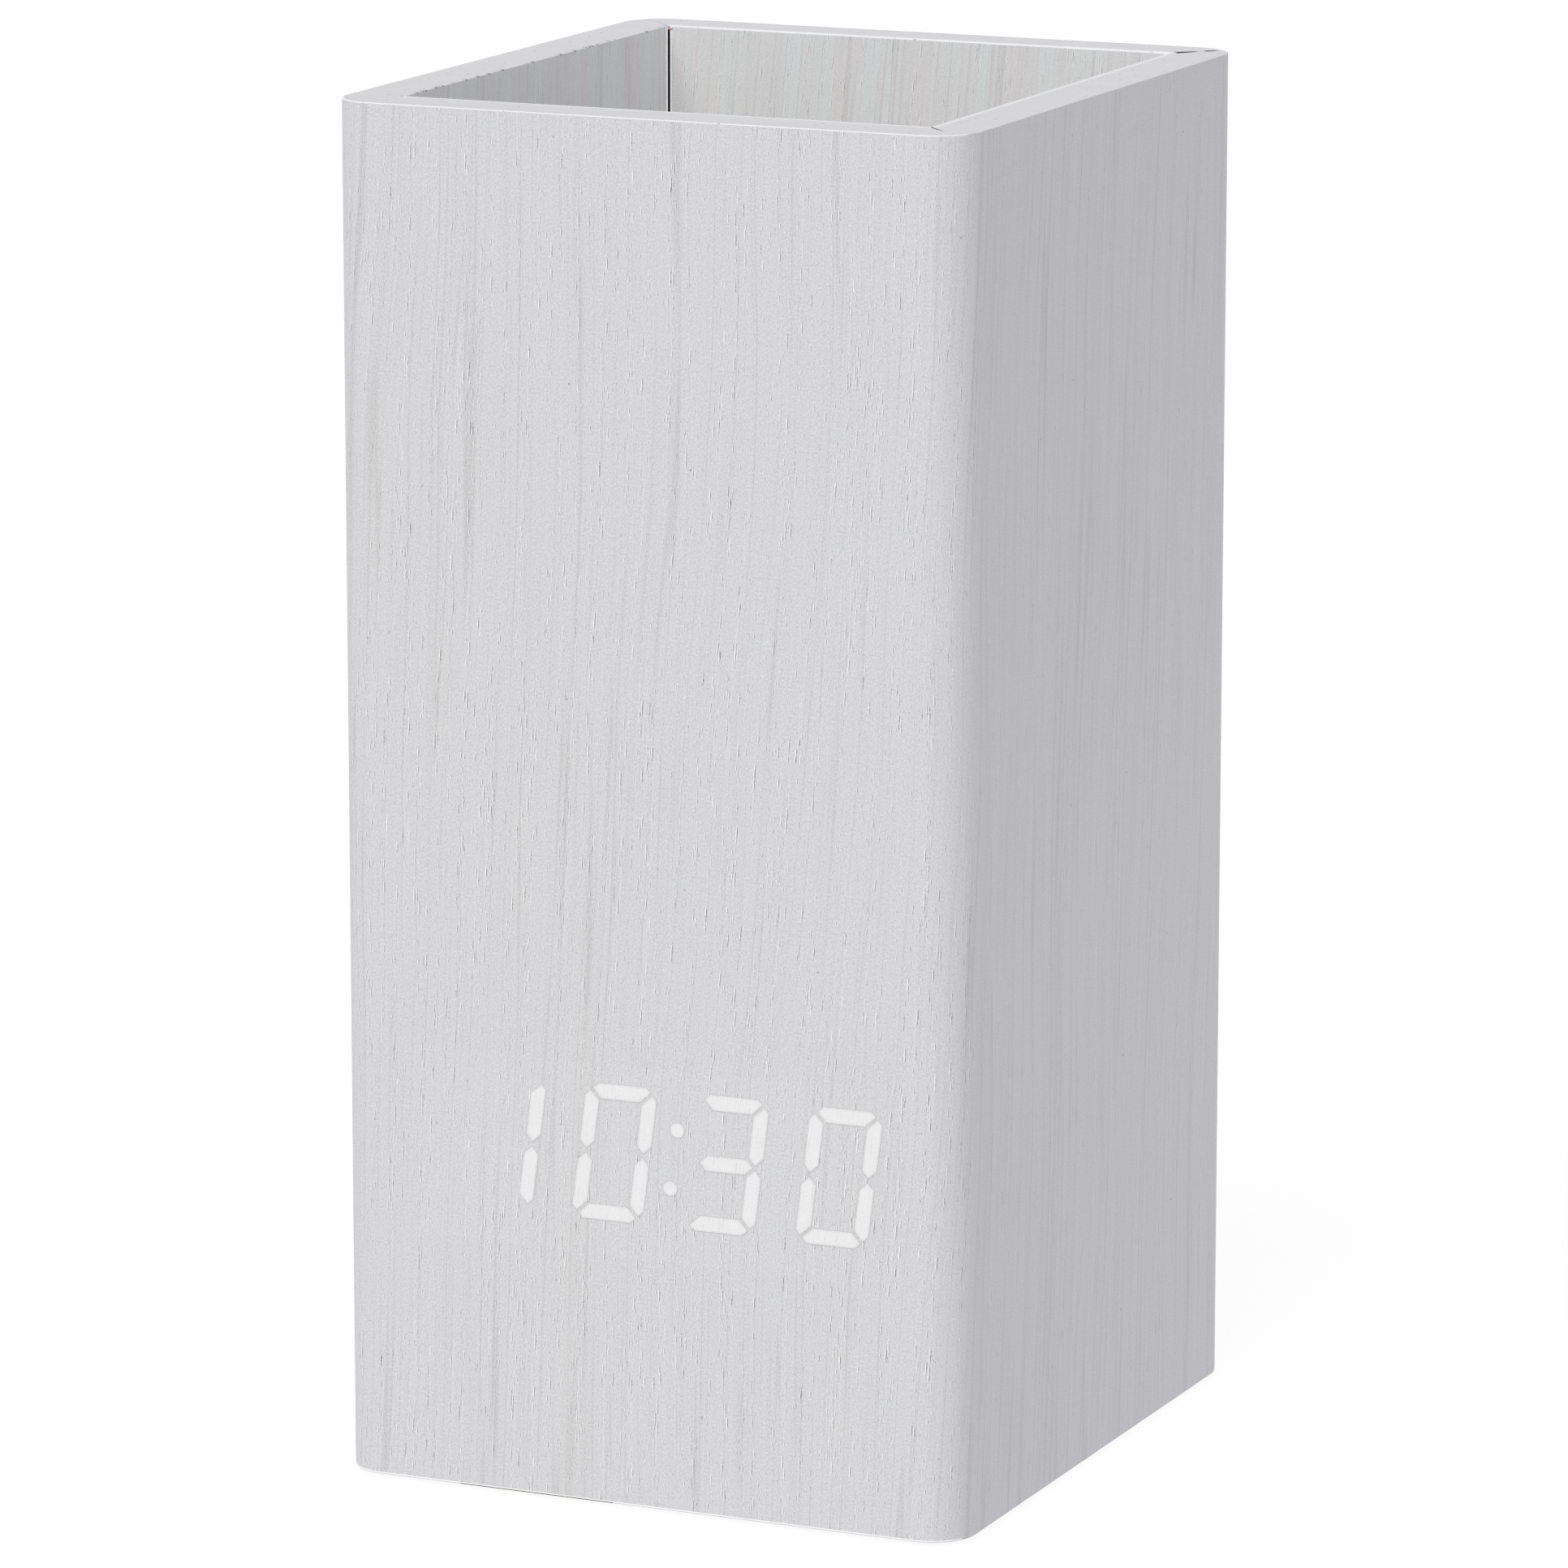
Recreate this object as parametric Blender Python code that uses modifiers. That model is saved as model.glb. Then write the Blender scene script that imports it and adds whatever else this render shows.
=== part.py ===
"""Digital alarm clock with an open pen cup above its display, built from separate pieces.

The box stands on the plane z = 0 and is centred on the z axis. Its display looks along -y.
"""

import math

import bmesh
import bpy
from mathutils import Matrix, Vector

# Case: its width and depth follow from what it holds, and its height from the clock and the cup
WALL = 0.006
CORNER_RADIUS = 0.0048
CORNER_STEPS = 8
FIT = 0.0003
OVERRUN = 0.002

# Film and board panels
FILM_THICKNESS = 0.0004
FILM_SEAM = 0.0003
MITRE_GAP = 0.0003
FLOOR_THICKNESS = 0.003
FLOOR_GROOVE = 0.0015
FLOOR_ROOM = 0.0026
CUP_DEPTH = 0.0874

# Base plate, feet and battery tray
FOOT_PROUD = 0.0004
FOOT_RADIUS = 0.004
FOOT_EDGE = 0.0005
FOOT_INSET = 0.0055
BASE_RECESS = 0.0012
BASE_THICKNESS = 0.0028
BASE_CORNER = 0.001
BASE_STRIP = 0.013
BASE_RIM = 0.00045
DOOR_THICKNESS = 0.0016
DOOR_LEDGE = 0.0013
TRAY_WALL = 0.0012
TRAY_RIB_THICKNESS = 0.0012
TRAY_RIB_DEPTH = 0.0026
TRAY_SIDE_ROOM = 0.00055
HINGE_PIN_RADIUS = 0.0005
HINGE_PIN_LENGTH = 0.0012
LATCH_WIDTH = 0.009
LATCH_LENGTH = 0.006
LATCH_SLIT = 0.0006
FINGER_SCOOP_RADIUS = 0.006
FINGER_SCOOP_DEPTH = 0.0007
GRIP_GROOVE_DEPTH = 0.0004
GRIP_GROOVE_WIDTH = 0.0007
GRIP_GROOVE_PITCH = 0.0018
GRIP_GROOVES = 4

# Battery cells, their springs and contacts
CELL_COUNT = 3
CELL_LENGTH = 0.0445
CELL_RADIUS = 0.00525
CELL_SPACING = 0.0008
CELL_EDGE = 0.0005
NUB_RADIUS = 0.0019
NUB_HEIGHT = 0.0009
SPRING_LENGTH = 0.0035
SPRING_FOOT_RADIUS = 0.0036
SPRING_TIP_RADIUS = 0.0022
SPRING_WIRE_RADIUS = 0.00025
SPRING_TURNS = 3
SPRING_STEPS_PER_TURN = 12
CONTACT_THICKNESS = 0.0004
CONTACT_SIZE = 0.009
CONTACT_TAB_WIDTH = 0.003
CONTACT_TAB_RISE = 0.0025

# Cleats that the base plate is screwed to
CLEAT_END_ROOM = 0.003
CLEAT_DEPTH = 0.009
CLEAT_HEIGHT = 0.008

# Self-tapping screws
SCREW_RADIUS = 0.0011
SCREW_HEAD_RADIUS = 0.002
SCREW_HEAD_HEIGHT = 0.0013
SCREW_POINT = 0.0008
SCREW_STEPS = 14
BASE_SCREW_LENGTH = 0.0075
BASE_SCREW_INSET = 0.015
PANEL_SCREW_LENGTH = 0.0055
BOARD_SCREW_LENGTH = 0.0050
DISPLAY_SCREW_LENGTH = 0.0050

# Seven-segment display
DISPLAY_X = 0.0031
DISPLAY_RISE = 0.02225
DIGIT_COUNT = 4
DIGIT_PITCH = 0.01253
DIGIT_WIDTH = 0.0081
DIGIT_HEIGHT = 0.0145
DIGIT_SLANT_SHARE = 0.132
STROKE = 0.00158
SEGMENT_CHAMFER = 0.0014
SEGMENT_GAP = 0.00032
COLON_RADIUS = 0.0008
COLON_OFFSET_X = 0.0004
COLON_RISE = 0.0031
COLON_STEPS = 14
MODULE_MARGIN_X = 0.0004
MODULE_MARGIN_Z = 0.0014
DIFFUSER_THICKNESS = 0.0003
WELL_THROAT_SHARE = 0.74
LED_LENGTH = 0.0010
LED_WIDTH = 0.0005
LED_HEIGHT = 0.0005
BOARD_THICKNESS = 0.0016
DISPLAY_BOARD_LAP_X = 0.00014
DISPLAY_BOARD_EDGE = 0.0002
DISPLAY_SCREW_INSET = 0.0040
DISPLAY_SCREW_WEB = 0.0011

# Control panel in the back
CONTROL_COUNT = 4
CONTROL_SPACE = 0.0009
CONTROL_RISE = 0.0195
OPENING_HEIGHT = 0.022
OPENING_SIDE = 0.00145
OPENING_CORNER = 0.002
BEZEL_RECESS = 0.0012
BEZEL_FACE = 0.002
BEZEL_WALL = 0.0015
BEZEL_FLANGE = 0.0015
BEZEL_FLANGE_EDGE = 0.0007
PANEL_SCREW_WEB = 0.0009
POST_RADIUS = 0.0025
POST_INSET_X = 0.004
POST_INSET_Z = 0.003
BOARD_STANDOFF = 0.0042

# Buttons and their switches
BUTTON_RADIUS = 0.0032
BUTTON_PROUD = 0.0007
BUTTON_TRAVEL = 0.0005
BUTTON_EDGE = 0.0004
BUTTON_FLANGE = 0.0009
BUTTON_FLANGE_THICKNESS = 0.001
BUTTON_STEM_RADIUS = 0.0015
SWITCH_SIZE = 0.006
SWITCH_HEIGHT = 0.0035
SWITCH_EDGE = 0.0004
SWITCH_BORE_ROOM = 0.0008
PLUNGER_RADIUS = 0.0017
PLUNGER_RISE = 0.0015
PLUNGER_SUNK = 0.0013

# Power inlet
JACK_SIZE = 0.009
JACK_BORE_RADIUS = 0.00285
JACK_FLOOR = 0.0012
JACK_PIN_RADIUS = 0.001
JACK_PIN_SHORT = 0.001
JACK_EDGE = 0.0005
INLET_MARGIN = 0.00035

# Main board and what it carries: a round holder on its left, and a column of parts on its right
PART_MARGIN = 0.0022
PART_SPACE = 0.0028
BUZZER_RADIUS = 0.0045
BUZZER_HEIGHT = 0.0055
BUZZER_EDGE = 0.0004
BUZZER_MOUTH_RADIUS = 0.001
BUZZER_MOUTH_DEPTH = 0.002
BUZZER_Z = 0.0055
COIN_RADIUS = 0.010
COIN_THICKNESS = 0.0032
COIN_EDGE = 0.0003
COIN_Z = 0.002
HOLDER_WALL = 0.0011
HOLDER_FLOOR = 0.0008
HOLDER_NOTCH = 0.008
CHIP_LENGTH = 0.010
CHIP_WIDTH = 0.0053
CHIP_THICKNESS = 0.0018
CHIP_STAND = 0.0003
CHIP_LEG_REACH = 0.0011
CHIP_LEG_WIDTH = 0.0004
CHIP_LEG_THICKNESS = 0.0003
CHIP_LEG_PITCH = 0.00127
CHIP_LEGS = 7
CHIP_Z = -0.005
CRYSTAL_RADIUS = 0.001
CRYSTAL_LENGTH = 0.006
CRYSTAL_EDGE = 0.0002
CRYSTAL_Z = -0.0115

# Ribbon cable, its headers, and the battery leads
HEADER_WIDTH = 0.012
HEADER_DEPTH = 0.0025
HEADER_HEIGHT = 0.003
HEADER_INSET = 0.002
RIBBON_THICKNESS = 0.0009
RIBBON_WIDTH = 0.0115
RIBBON_SLACK = 0.030
RIBBON_STEPS = 16
LEAD_RADIUS = 0.0006
LEAD_PAD_INSET = 0.0014
LEAD_PAD_Z = -0.0105
LEAD_LOOP = 0.010
LEAD_STEPS = 14

# Counts of sides and the limit below which points are one point
ROUND_STEPS = 24
SMALL_ROUND_STEPS = 14
WELD_DISTANCE = 0.000001
SHARP_ANGLE = math.radians(35)

# Heights of the base and of the battery tray
CASE_BOTTOM = FOOT_PROUD
BASE_BOTTOM = CASE_BOTTOM + BASE_RECESS
BASE_TOP = BASE_BOTTOM + BASE_THICKNESS
DOOR_TOP = BASE_BOTTOM + DOOR_THICKNESS
CELL_Z = DOOR_TOP + FIT + CELL_RADIUS
TRAY_CEILING = CELL_Z + CELL_RADIUS + FIT
TRAY_TOP = TRAY_CEILING + TRAY_WALL
CLEAT_BOTTOM = BASE_TOP + FIT

# Half sizes of the tray and its door
CELL_PITCH = 2 * CELL_RADIUS + CELL_SPACING
TRAY_X = (CELL_LENGTH + SPRING_LENGTH + 2 * CONTACT_THICKNESS + 5 * FIT) / 2
TRAY_Y = (CELL_COUNT * CELL_PITCH - CELL_SPACING) / 2 + TRAY_SIDE_ROOM
DOOR_X = TRAY_X + DOOR_LEDGE
DOOR_Y = TRAY_Y + DOOR_LEDGE
HINGE_Y = -DOOR_Y + DOOR_THICKNESS / 2
HINGE_Z = BASE_BOTTOM + DOOR_THICKNESS / 2

# Display: half sizes, and the height of the middle of its digits
SCREW_HOLE = SCREW_RADIUS + FIT
MODULE_X = DIGIT_COUNT * DIGIT_PITCH / 2 + MODULE_MARGIN_X
MODULE_Z = DIGIT_HEIGHT / 2 + MODULE_MARGIN_Z
DISPLAY_SCREW_Z = MODULE_Z + FIT + DISPLAY_SCREW_WEB + SCREW_HOLE
DISPLAY_BOARD_X = MODULE_X + DISPLAY_BOARD_LAP_X
DISPLAY_BOARD_Z = DISPLAY_SCREW_Z + SCREW_HEAD_RADIUS + DISPLAY_BOARD_EDGE
DISPLAY_Z = TRAY_TOP + DISPLAY_RISE

# Controls: their pitch, half sizes of the opening, the flange and the board behind it
BUTTON_REACH = BUTTON_RADIUS + BUTTON_FLANGE
CONTROL_PITCH = BUTTON_REACH + max(BUTTON_REACH, JACK_SIZE / 2) + CONTROL_SPACE
CONTROL_SPAN = (CONTROL_COUNT - 1) * CONTROL_PITCH
OPENING_X = CONTROL_SPAN / 2 + JACK_SIZE / 2 + OPENING_SIDE + BEZEL_WALL + FIT
OPENING_Z = TRAY_TOP + CONTROL_RISE
BEZEL_X = OPENING_X - FIT
BEZEL_Z = OPENING_HEIGHT / 2 - FIT
PANEL_SCREW_X = OPENING_X + PANEL_SCREW_WEB + SCREW_HOLE
PANEL_SCREW_Z = OPENING_HEIGHT / 2 + PANEL_SCREW_WEB + SCREW_HOLE
FLANGE_X = PANEL_SCREW_X + SCREW_HEAD_RADIUS + BEZEL_FLANGE_EDGE
FLANGE_Z = PANEL_SCREW_Z + SCREW_HEAD_RADIUS + BEZEL_FLANGE_EDGE
HOLDER_RADIUS = COIN_RADIUS + FIT + HOLDER_WALL
COLUMN_WIDTH = max(CHIP_LENGTH, 2 * BUZZER_RADIUS)
BOARD_X = (2 * HOLDER_RADIUS + PART_SPACE + COLUMN_WIDTH) / 2 + PART_MARGIN
BOARD_Z = FLANGE_Z
HOLDER_X = -BOARD_X + PART_MARGIN + HOLDER_RADIUS
COLUMN_X = BOARD_X - PART_MARGIN - COLUMN_WIDTH / 2

# Inside of the case: as wide as the widest of what it holds, as deep as the base
BASE_REACH = DOOR_X + FIT + HINGE_PIN_LENGTH + BASE_RIM
INNER_X = max(abs(DISPLAY_X) + DISPLAY_BOARD_X, FLANGE_X, BASE_REACH) + FIT
INNER_Y = DOOR_Y + FIT + BASE_STRIP + FIT
CASE_WIDTH = 2 * (INNER_X + WALL)
CASE_DEPTH = 2 * (INNER_Y + WALL)
FLOOR_BOTTOM = max(DISPLAY_Z + DISPLAY_BOARD_Z, OPENING_Z + FLANGE_Z) + FLOOR_ROOM
FLOOR_TOP = FLOOR_BOTTOM + FLOOR_THICKNESS
CLOCK_HEIGHT = FLOOR_TOP + CUP_DEPTH
BOARD_WALL = WALL - FILM_THICKNESS - FIT
BOARD_CORNER = CORNER_RADIUS - FILM_THICKNESS - FIT
CLEAT_X = INNER_X - CLEAT_END_ROOM
CLEAT_Y = INNER_Y - FIT - CLEAT_DEPTH / 2

# Depths of the display's and the control panel's layers
DIFFUSER_FRONT = -CASE_DEPTH / 2 + FILM_THICKNESS + FIT
REFLECTOR_FRONT = DIFFUSER_FRONT + DIFFUSER_THICKNESS + FIT
REFLECTOR_BACK = -INNER_Y
DISPLAY_BOARD_FRONT = REFLECTOR_BACK + FIT
DISPLAY_BOARD_BACK = DISPLAY_BOARD_FRONT + BOARD_THICKNESS
BEZEL_OUTER = CASE_DEPTH / 2 - BEZEL_RECESS
BEZEL_INNER = BEZEL_OUTER - BEZEL_FACE
FLANGE_OUTER = INNER_Y - FIT
FLANGE_INNER = FLANGE_OUTER - BEZEL_FLANGE
BOARD_BACK = FLANGE_INNER - BOARD_STANDOFF
BOARD_FRONT = BOARD_BACK - BOARD_THICKNESS
HEADER_Z = OPENING_Z - BOARD_Z + HEADER_INSET + HEADER_HEIGHT / 2
DISPLAY_HEADER_Z = DISPLAY_Z - DISPLAY_BOARD_Z + HEADER_INSET + HEADER_HEIGHT / 2
SWITCH_FOOT = BOARD_BACK + FIT
SWITCH_TOP = SWITCH_FOOT + SWITCH_HEIGHT
SWITCH_BORE_RADIUS = PLUNGER_RADIUS + FIT
SWITCH_BORE_DEPTH = PLUNGER_SUNK + BUTTON_TRAVEL + SWITCH_BORE_ROOM
BUTTON_FACE = BEZEL_OUTER + BUTTON_PROUD
BUTTON_STEM_END = SWITCH_TOP + PLUNGER_RISE + FIT
INLET_RADIUS = JACK_BORE_RADIUS + INLET_MARGIN

# Directions: a plane outline lies in x and y, and a turned profile stands on z
UPRIGHT = Matrix.Identity(4)
FACING_FRONT = Matrix.Rotation(math.radians(90), 4, "X")
ALONG_X = Matrix(((0, 0, 1, 0), (1, 0, 0, 0), (0, 1, 0, 0), (0, 0, 0, 1)))
TURNED_BACK = Matrix.Rotation(math.radians(-90), 4, "X")
TURNED_FRONT = Matrix.Rotation(math.radians(90), 4, "X")
TURNED_RIGHT = Matrix.Rotation(math.radians(90), 4, "Y")
TURNED_LEFT = Matrix.Rotation(math.radians(-90), 4, "Y")

# Colour, roughness and metallic value of each finish
FINISHES = {
    "whitewashed_board": ((0.79, 0.78, 0.80), 0.55, 0.0),
    "grain_film": ((0.80, 0.80, 0.82), 0.50, 0.0),
    "bare_batten": ((0.66, 0.50, 0.34), 0.75, 0.0),
    "white_plastic": ((0.80, 0.80, 0.81), 0.42, 0.0),
    "grey_rubber": ((0.20, 0.20, 0.21), 0.85, 0.0),
    "reflector_white": ((0.86, 0.86, 0.87), 0.50, 0.0),
    "diffuser": ((0.92, 0.92, 0.95), 0.35, 0.0),
    "circuit_board": ((0.03, 0.22, 0.10), 0.45, 0.0),
    "black_plastic": ((0.03, 0.03, 0.03), 0.40, 0.0),
    "nickel": ((0.72, 0.71, 0.69), 0.28, 1.0),
    "zinc_screw": ((0.62, 0.62, 0.64), 0.35, 1.0),
    "cell_jacket": ((0.10, 0.12, 0.16), 0.35, 0.2),
    "red_lead": ((0.60, 0.03, 0.02), 0.45, 0.0),
    "black_lead": ((0.02, 0.02, 0.02), 0.45, 0.0),
    "grey_ribbon": ((0.45, 0.45, 0.47), 0.50, 0.0),
}

PIECES = "digital_alarm_clock"
CUTTERS = "cutters"


def clear_scene():
    for item in list(bpy.data.objects):
        bpy.data.objects.remove(item, do_unlink=True)


def collection(name):
    found = bpy.data.collections.get(name)
    if found is None:
        found = bpy.data.collections.new(name)
        bpy.context.scene.collection.children.link(found)
    return found


def finish(name):
    found = bpy.data.materials.get(name)
    if found is None:
        colour, roughness, metallic = FINISHES[name]
        found = bpy.data.materials.new(name)
        found.use_nodes = True
        shader = found.node_tree.nodes["Principled BSDF"]
        shader.inputs["Base Color"].default_value = (*colour, 1.0)
        shader.inputs["Roughness"].default_value = roughness
        shader.inputs["Metallic"].default_value = metallic
    return found


def add_object(name, mesh, at, turn, look):
    """Link a mesh as a piece with a finish, or as a hidden cutter where it has none."""
    item = bpy.data.objects.new(name, mesh)
    item.matrix_world = Matrix.Translation(Vector(at)) @ turn
    if look is None:
        item.hide_render = True
        item.display_type = "WIRE"
        collection(CUTTERS).objects.link(item)
    else:
        mesh.materials.clear()
        mesh.materials.append(finish(look))
        collection(PIECES).objects.link(item)
    return item


def shade_round(mesh):
    mesh.shade_smooth()
    mesh.set_sharp_from_angle(angle=SHARP_ANGLE)


def smooth_by_angle():
    """A node group that shades every face smooth and keeps the edges of more than SHARP_ANGLE crisp."""
    group = bpy.data.node_groups.get("smooth_by_angle")
    if group is not None:
        return group
    group = bpy.data.node_groups.new("smooth_by_angle", "GeometryNodeTree")
    group.interface.new_socket("Geometry", in_out="INPUT", socket_type="NodeSocketGeometry")
    group.interface.new_socket("Geometry", in_out="OUTPUT", socket_type="NodeSocketGeometry")
    start = group.nodes.new("NodeGroupInput")
    end = group.nodes.new("NodeGroupOutput")
    faces = group.nodes.new("GeometryNodeSetShadeSmooth")
    edges = group.nodes.new("GeometryNodeSetShadeSmooth")
    edges.domain = "EDGE"
    angle = group.nodes.new("GeometryNodeInputMeshEdgeAngle")
    blunt = group.nodes.new("FunctionNodeCompare")
    blunt.operation = "LESS_THAN"
    blunt.inputs["B"].default_value = SHARP_ANGLE
    group.links.new(angle.outputs["Unsigned Angle"], blunt.inputs["A"])
    group.links.new(start.outputs["Geometry"], faces.inputs["Geometry"])
    group.links.new(faces.outputs["Geometry"], edges.inputs["Geometry"])
    group.links.new(blunt.outputs["Result"], edges.inputs["Shade Smooth"])
    group.links.new(edges.outputs["Geometry"], end.inputs["Geometry"])
    return group


def shade_pieces():
    for item in collection(PIECES).objects:
        if item.type == "MESH":
            item.modifiers.new("smooth by angle", "NODES").node_group = smooth_by_angle()


def block(name, low, high, look=None, edge=0.0):
    """A box between two corners, with its origin in its middle."""
    low, high = Vector(low), Vector(high)
    shape = bmesh.new()
    bmesh.ops.create_cube(shape, size=1)
    bmesh.ops.scale(shape, vec=high - low, verts=shape.verts)
    mesh = bpy.data.meshes.new(name)
    shape.to_mesh(mesh)
    shape.free()
    item = add_object(name, mesh, (low + high) / 2, UPRIGHT, look)
    if edge:
        round_edges(item, edge)
    return item


def cylinder(name, radius, length, at, turn, look=None, steps=ROUND_STEPS):
    """A cylinder whose axis starts at a point and runs along its turned z axis."""
    shape = bmesh.new()
    bmesh.ops.create_cone(
        shape,
        cap_ends=True,
        segments=steps,
        radius1=radius,
        radius2=radius,
        depth=length,
        matrix=Matrix.Translation((0, 0, length / 2)),
    )
    mesh = bpy.data.meshes.new(name)
    shape.to_mesh(mesh)
    shape.free()
    shade_round(mesh)
    return add_object(name, mesh, at, turn, look)


def round_edges(item, width, segments=2):
    bevel = item.modifiers.new("rounded edges", "BEVEL")
    bevel.width = width
    bevel.segments = segments
    bevel.limit_method = "ANGLE"
    bevel.angle_limit = SHARP_ANGLE


def flat_outline(name, outlines, thickness, at, turn, look=None):
    """A plate with the given closed outlines, inner ones being holes, half to each side of a point."""
    curve = bpy.data.curves.new(name, "CURVE")
    curve.dimensions = "2D"
    curve.fill_mode = "BOTH"
    curve.extrude = thickness / 2
    for outline in outlines:
        spline = curve.splines.new("POLY")
        spline.points.add(len(outline) - 1)
        for point, place in zip(spline.points, outline):
            point.co = (*place, 0.0, 1.0)
        spline.use_cyclic_u = True
    guide = bpy.data.objects.new(name + "_outline", curve)
    collection(CUTTERS).objects.link(guide)
    mesh = welded_mesh(guide, name)
    bpy.data.objects.remove(guide, do_unlink=True)
    return add_object(name, mesh, at, turn, look)


def welded_mesh(guide, name):
    """The mesh that a curve makes, with its loose caps welded and its faces turned out."""
    bpy.context.view_layer.update()
    graph = bpy.context.evaluated_depsgraph_get()
    mesh = bpy.data.meshes.new_from_object(guide.evaluated_get(graph))
    mesh.name = name
    shape = bmesh.new()
    shape.from_mesh(mesh)
    bmesh.ops.remove_doubles(shape, verts=shape.verts, dist=WELD_DISTANCE)
    bmesh.ops.recalc_face_normals(shape, faces=shape.faces)
    shape.to_mesh(mesh)
    shape.free()
    shade_round(mesh)
    return mesh


def turned(name, profile, at, turn, look, steps=ROUND_STEPS):
    """A piece turned about z from (radius, height) points that run down its outer side."""
    mesh = bpy.data.meshes.new(name)
    ends = [(i, i + 1) for i in range(len(profile) - 1)]
    mesh.from_pydata([(radius, 0.0, height) for radius, height in profile], ends, [])
    item = add_object(name, mesh, at, turn, look)
    screw = item.modifiers.new("turned", "SCREW")
    screw.axis = "Z"
    screw.steps = steps
    screw.render_steps = steps
    screw.use_smooth_shade = True
    screw.use_merge_vertices = True
    screw.merge_threshold = WELD_DISTANCE
    return item


def tube(name, points, radius, look, sides=1):
    """A round wire through the given points."""
    curve = bpy.data.curves.new(name, "CURVE")
    curve.dimensions = "3D"
    curve.bevel_depth = radius
    curve.bevel_resolution = sides
    curve.use_fill_caps = True
    spline = curve.splines.new("POLY")
    spline.points.add(len(points) - 1)
    for point, place in zip(spline.points, points):
        point.co = (*place, 1.0)
    curve.materials.append(finish(look))
    item = bpy.data.objects.new(name, curve)
    collection(PIECES).objects.link(item)
    return item


def merged(name, shapes):
    """One cutter or filler made of several that don't touch."""
    shape = bmesh.new()
    for item in shapes:
        item.data.transform(item.matrix_world)
        shape.from_mesh(item.data)
        bpy.data.objects.remove(item, do_unlink=True)
    mesh = bpy.data.meshes.new(name)
    shape.to_mesh(mesh)
    shape.free()
    return add_object(name, mesh, (0, 0, 0), UPRIGHT, None)


def boolean(item, tool, operation):
    change = item.modifiers.new(tool.name, "BOOLEAN")
    change.operation = operation
    change.object = tool
    change.solver = "EXACT"


def cut(item, *tools):
    for tool in tools:
        boolean(item, tool, "DIFFERENCE")


def join(item, *tools):
    for tool in tools:
        boolean(item, tool, "UNION")


def arc(centre, radius, start, end, steps):
    """Points from one angle to another, both included."""
    return [
        (
            centre[0] + radius * math.cos(start + (end - start) * step / steps),
            centre[1] + radius * math.sin(start + (end - start) * step / steps),
        )
        for step in range(steps + 1)
    ]


def rounded_corners(half_x, half_y, radius, steps):
    """The four arcs of a rounded rectangle, anticlockwise from its back left corner."""
    points = []
    for quarter, (side_x, side_y) in enumerate(((-1, 1), (-1, -1), (1, -1), (1, 1))):
        centre = (side_x * (half_x - radius), side_y * (half_y - radius))
        start = math.pi / 2 * (quarter + 1)
        points += arc(centre, radius, start, start + math.pi / 2, steps)
    return points


def circle(centre, radius, steps=ROUND_STEPS):
    return arc(centre, radius, 0.0, 2 * math.pi, steps)[:-1]


def mirrored(points):
    return [(-x, y) for x, y in reversed(points)]


def smooth_path(start, start_pull, end, end_pull, steps):
    """Points on a cubic curve that leaves one end and meets the other along the given pulls."""
    start, end = Vector(start), Vector(end)
    controls = (start, start + Vector(start_pull), end + Vector(end_pull), end)
    path = []
    for step in range(steps + 1):
        t = step / steps
        weights = ((1 - t) ** 3, 3 * t * (1 - t) ** 2, 3 * t * t * (1 - t), t**3)
        path.append(sum((c * w for c, w in zip(controls, weights)), Vector()))
    return path


# Case of mitred board under a film


def panel_outline(inner_half, inner_face):
    """Plan of a panel that faces -y, mitred at both ends and rounded outside."""
    half_gap = MITRE_GAP / 2
    centre_out = BOARD_WALL - BOARD_CORNER
    centre = (inner_half + centre_out, -inner_face - centre_out)
    mitre = -math.pi / 4 - math.asin(half_gap / BOARD_CORNER)
    right = [(inner_half - half_gap * math.sqrt(2), -inner_face)]
    right += arc(centre, BOARD_CORNER, mitre, -math.pi / 2, CORNER_STEPS)
    return mirrored(right) + right


def panel(name, inner_half, inner_face, turn):
    height = CLOCK_HEIGHT - CASE_BOTTOM
    at = (0, 0, CASE_BOTTOM + height / 2)
    outline = panel_outline(inner_half, inner_face)
    return flat_outline(name, [outline], height, at, turn, "whitewashed_board")


def floor_groove():
    return block(
        "floor_groove",
        (-INNER_X - FLOOR_GROOVE, -INNER_Y - FLOOR_GROOVE, FLOOR_BOTTOM - FIT),
        (INNER_X + FLOOR_GROOVE, INNER_Y + FLOOR_GROOVE, FLOOR_TOP + FIT),
    )


def rear_opening():
    """The hole through the back panel and the film that the control panel sits in."""
    outline = rounded_corners(OPENING_X, OPENING_HEIGHT / 2, OPENING_CORNER, CORNER_STEPS)
    depth = WALL + 2 * OVERRUN
    at = (0, CASE_DEPTH / 2 - WALL / 2, OPENING_Z)
    return flat_outline("rear_opening", [outline], depth, at, FACING_FRONT)


def display_window():
    return block(
        "display_window",
        (DISPLAY_X - MODULE_X - FIT, -INNER_Y - BOARD_WALL - FIT / 2, DISPLAY_Z - MODULE_Z - FIT),
        (DISPLAY_X + MODULE_X + FIT, -INNER_Y + OVERRUN, DISPLAY_Z + MODULE_Z + FIT),
    )


def bezel_screw_places():
    return [(side * PANEL_SCREW_X, OPENING_Z + up * PANEL_SCREW_Z) for side in (-1, 1) for up in (-1, 1)]


def bezel_screw_holes():
    """Clearance holes that run through the flange and end blind in the back panel."""
    start = FLANGE_INNER - OVERRUN
    length = OVERRUN + PANEL_SCREW_LENGTH + FIT
    holes = [
        cylinder("panel_screw_hole", SCREW_HOLE, length, (x, start, z), TURNED_BACK, None, SCREW_STEPS)
        for x, z in bezel_screw_places()
    ]
    return merged("panel_screw_holes", holes)


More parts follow.
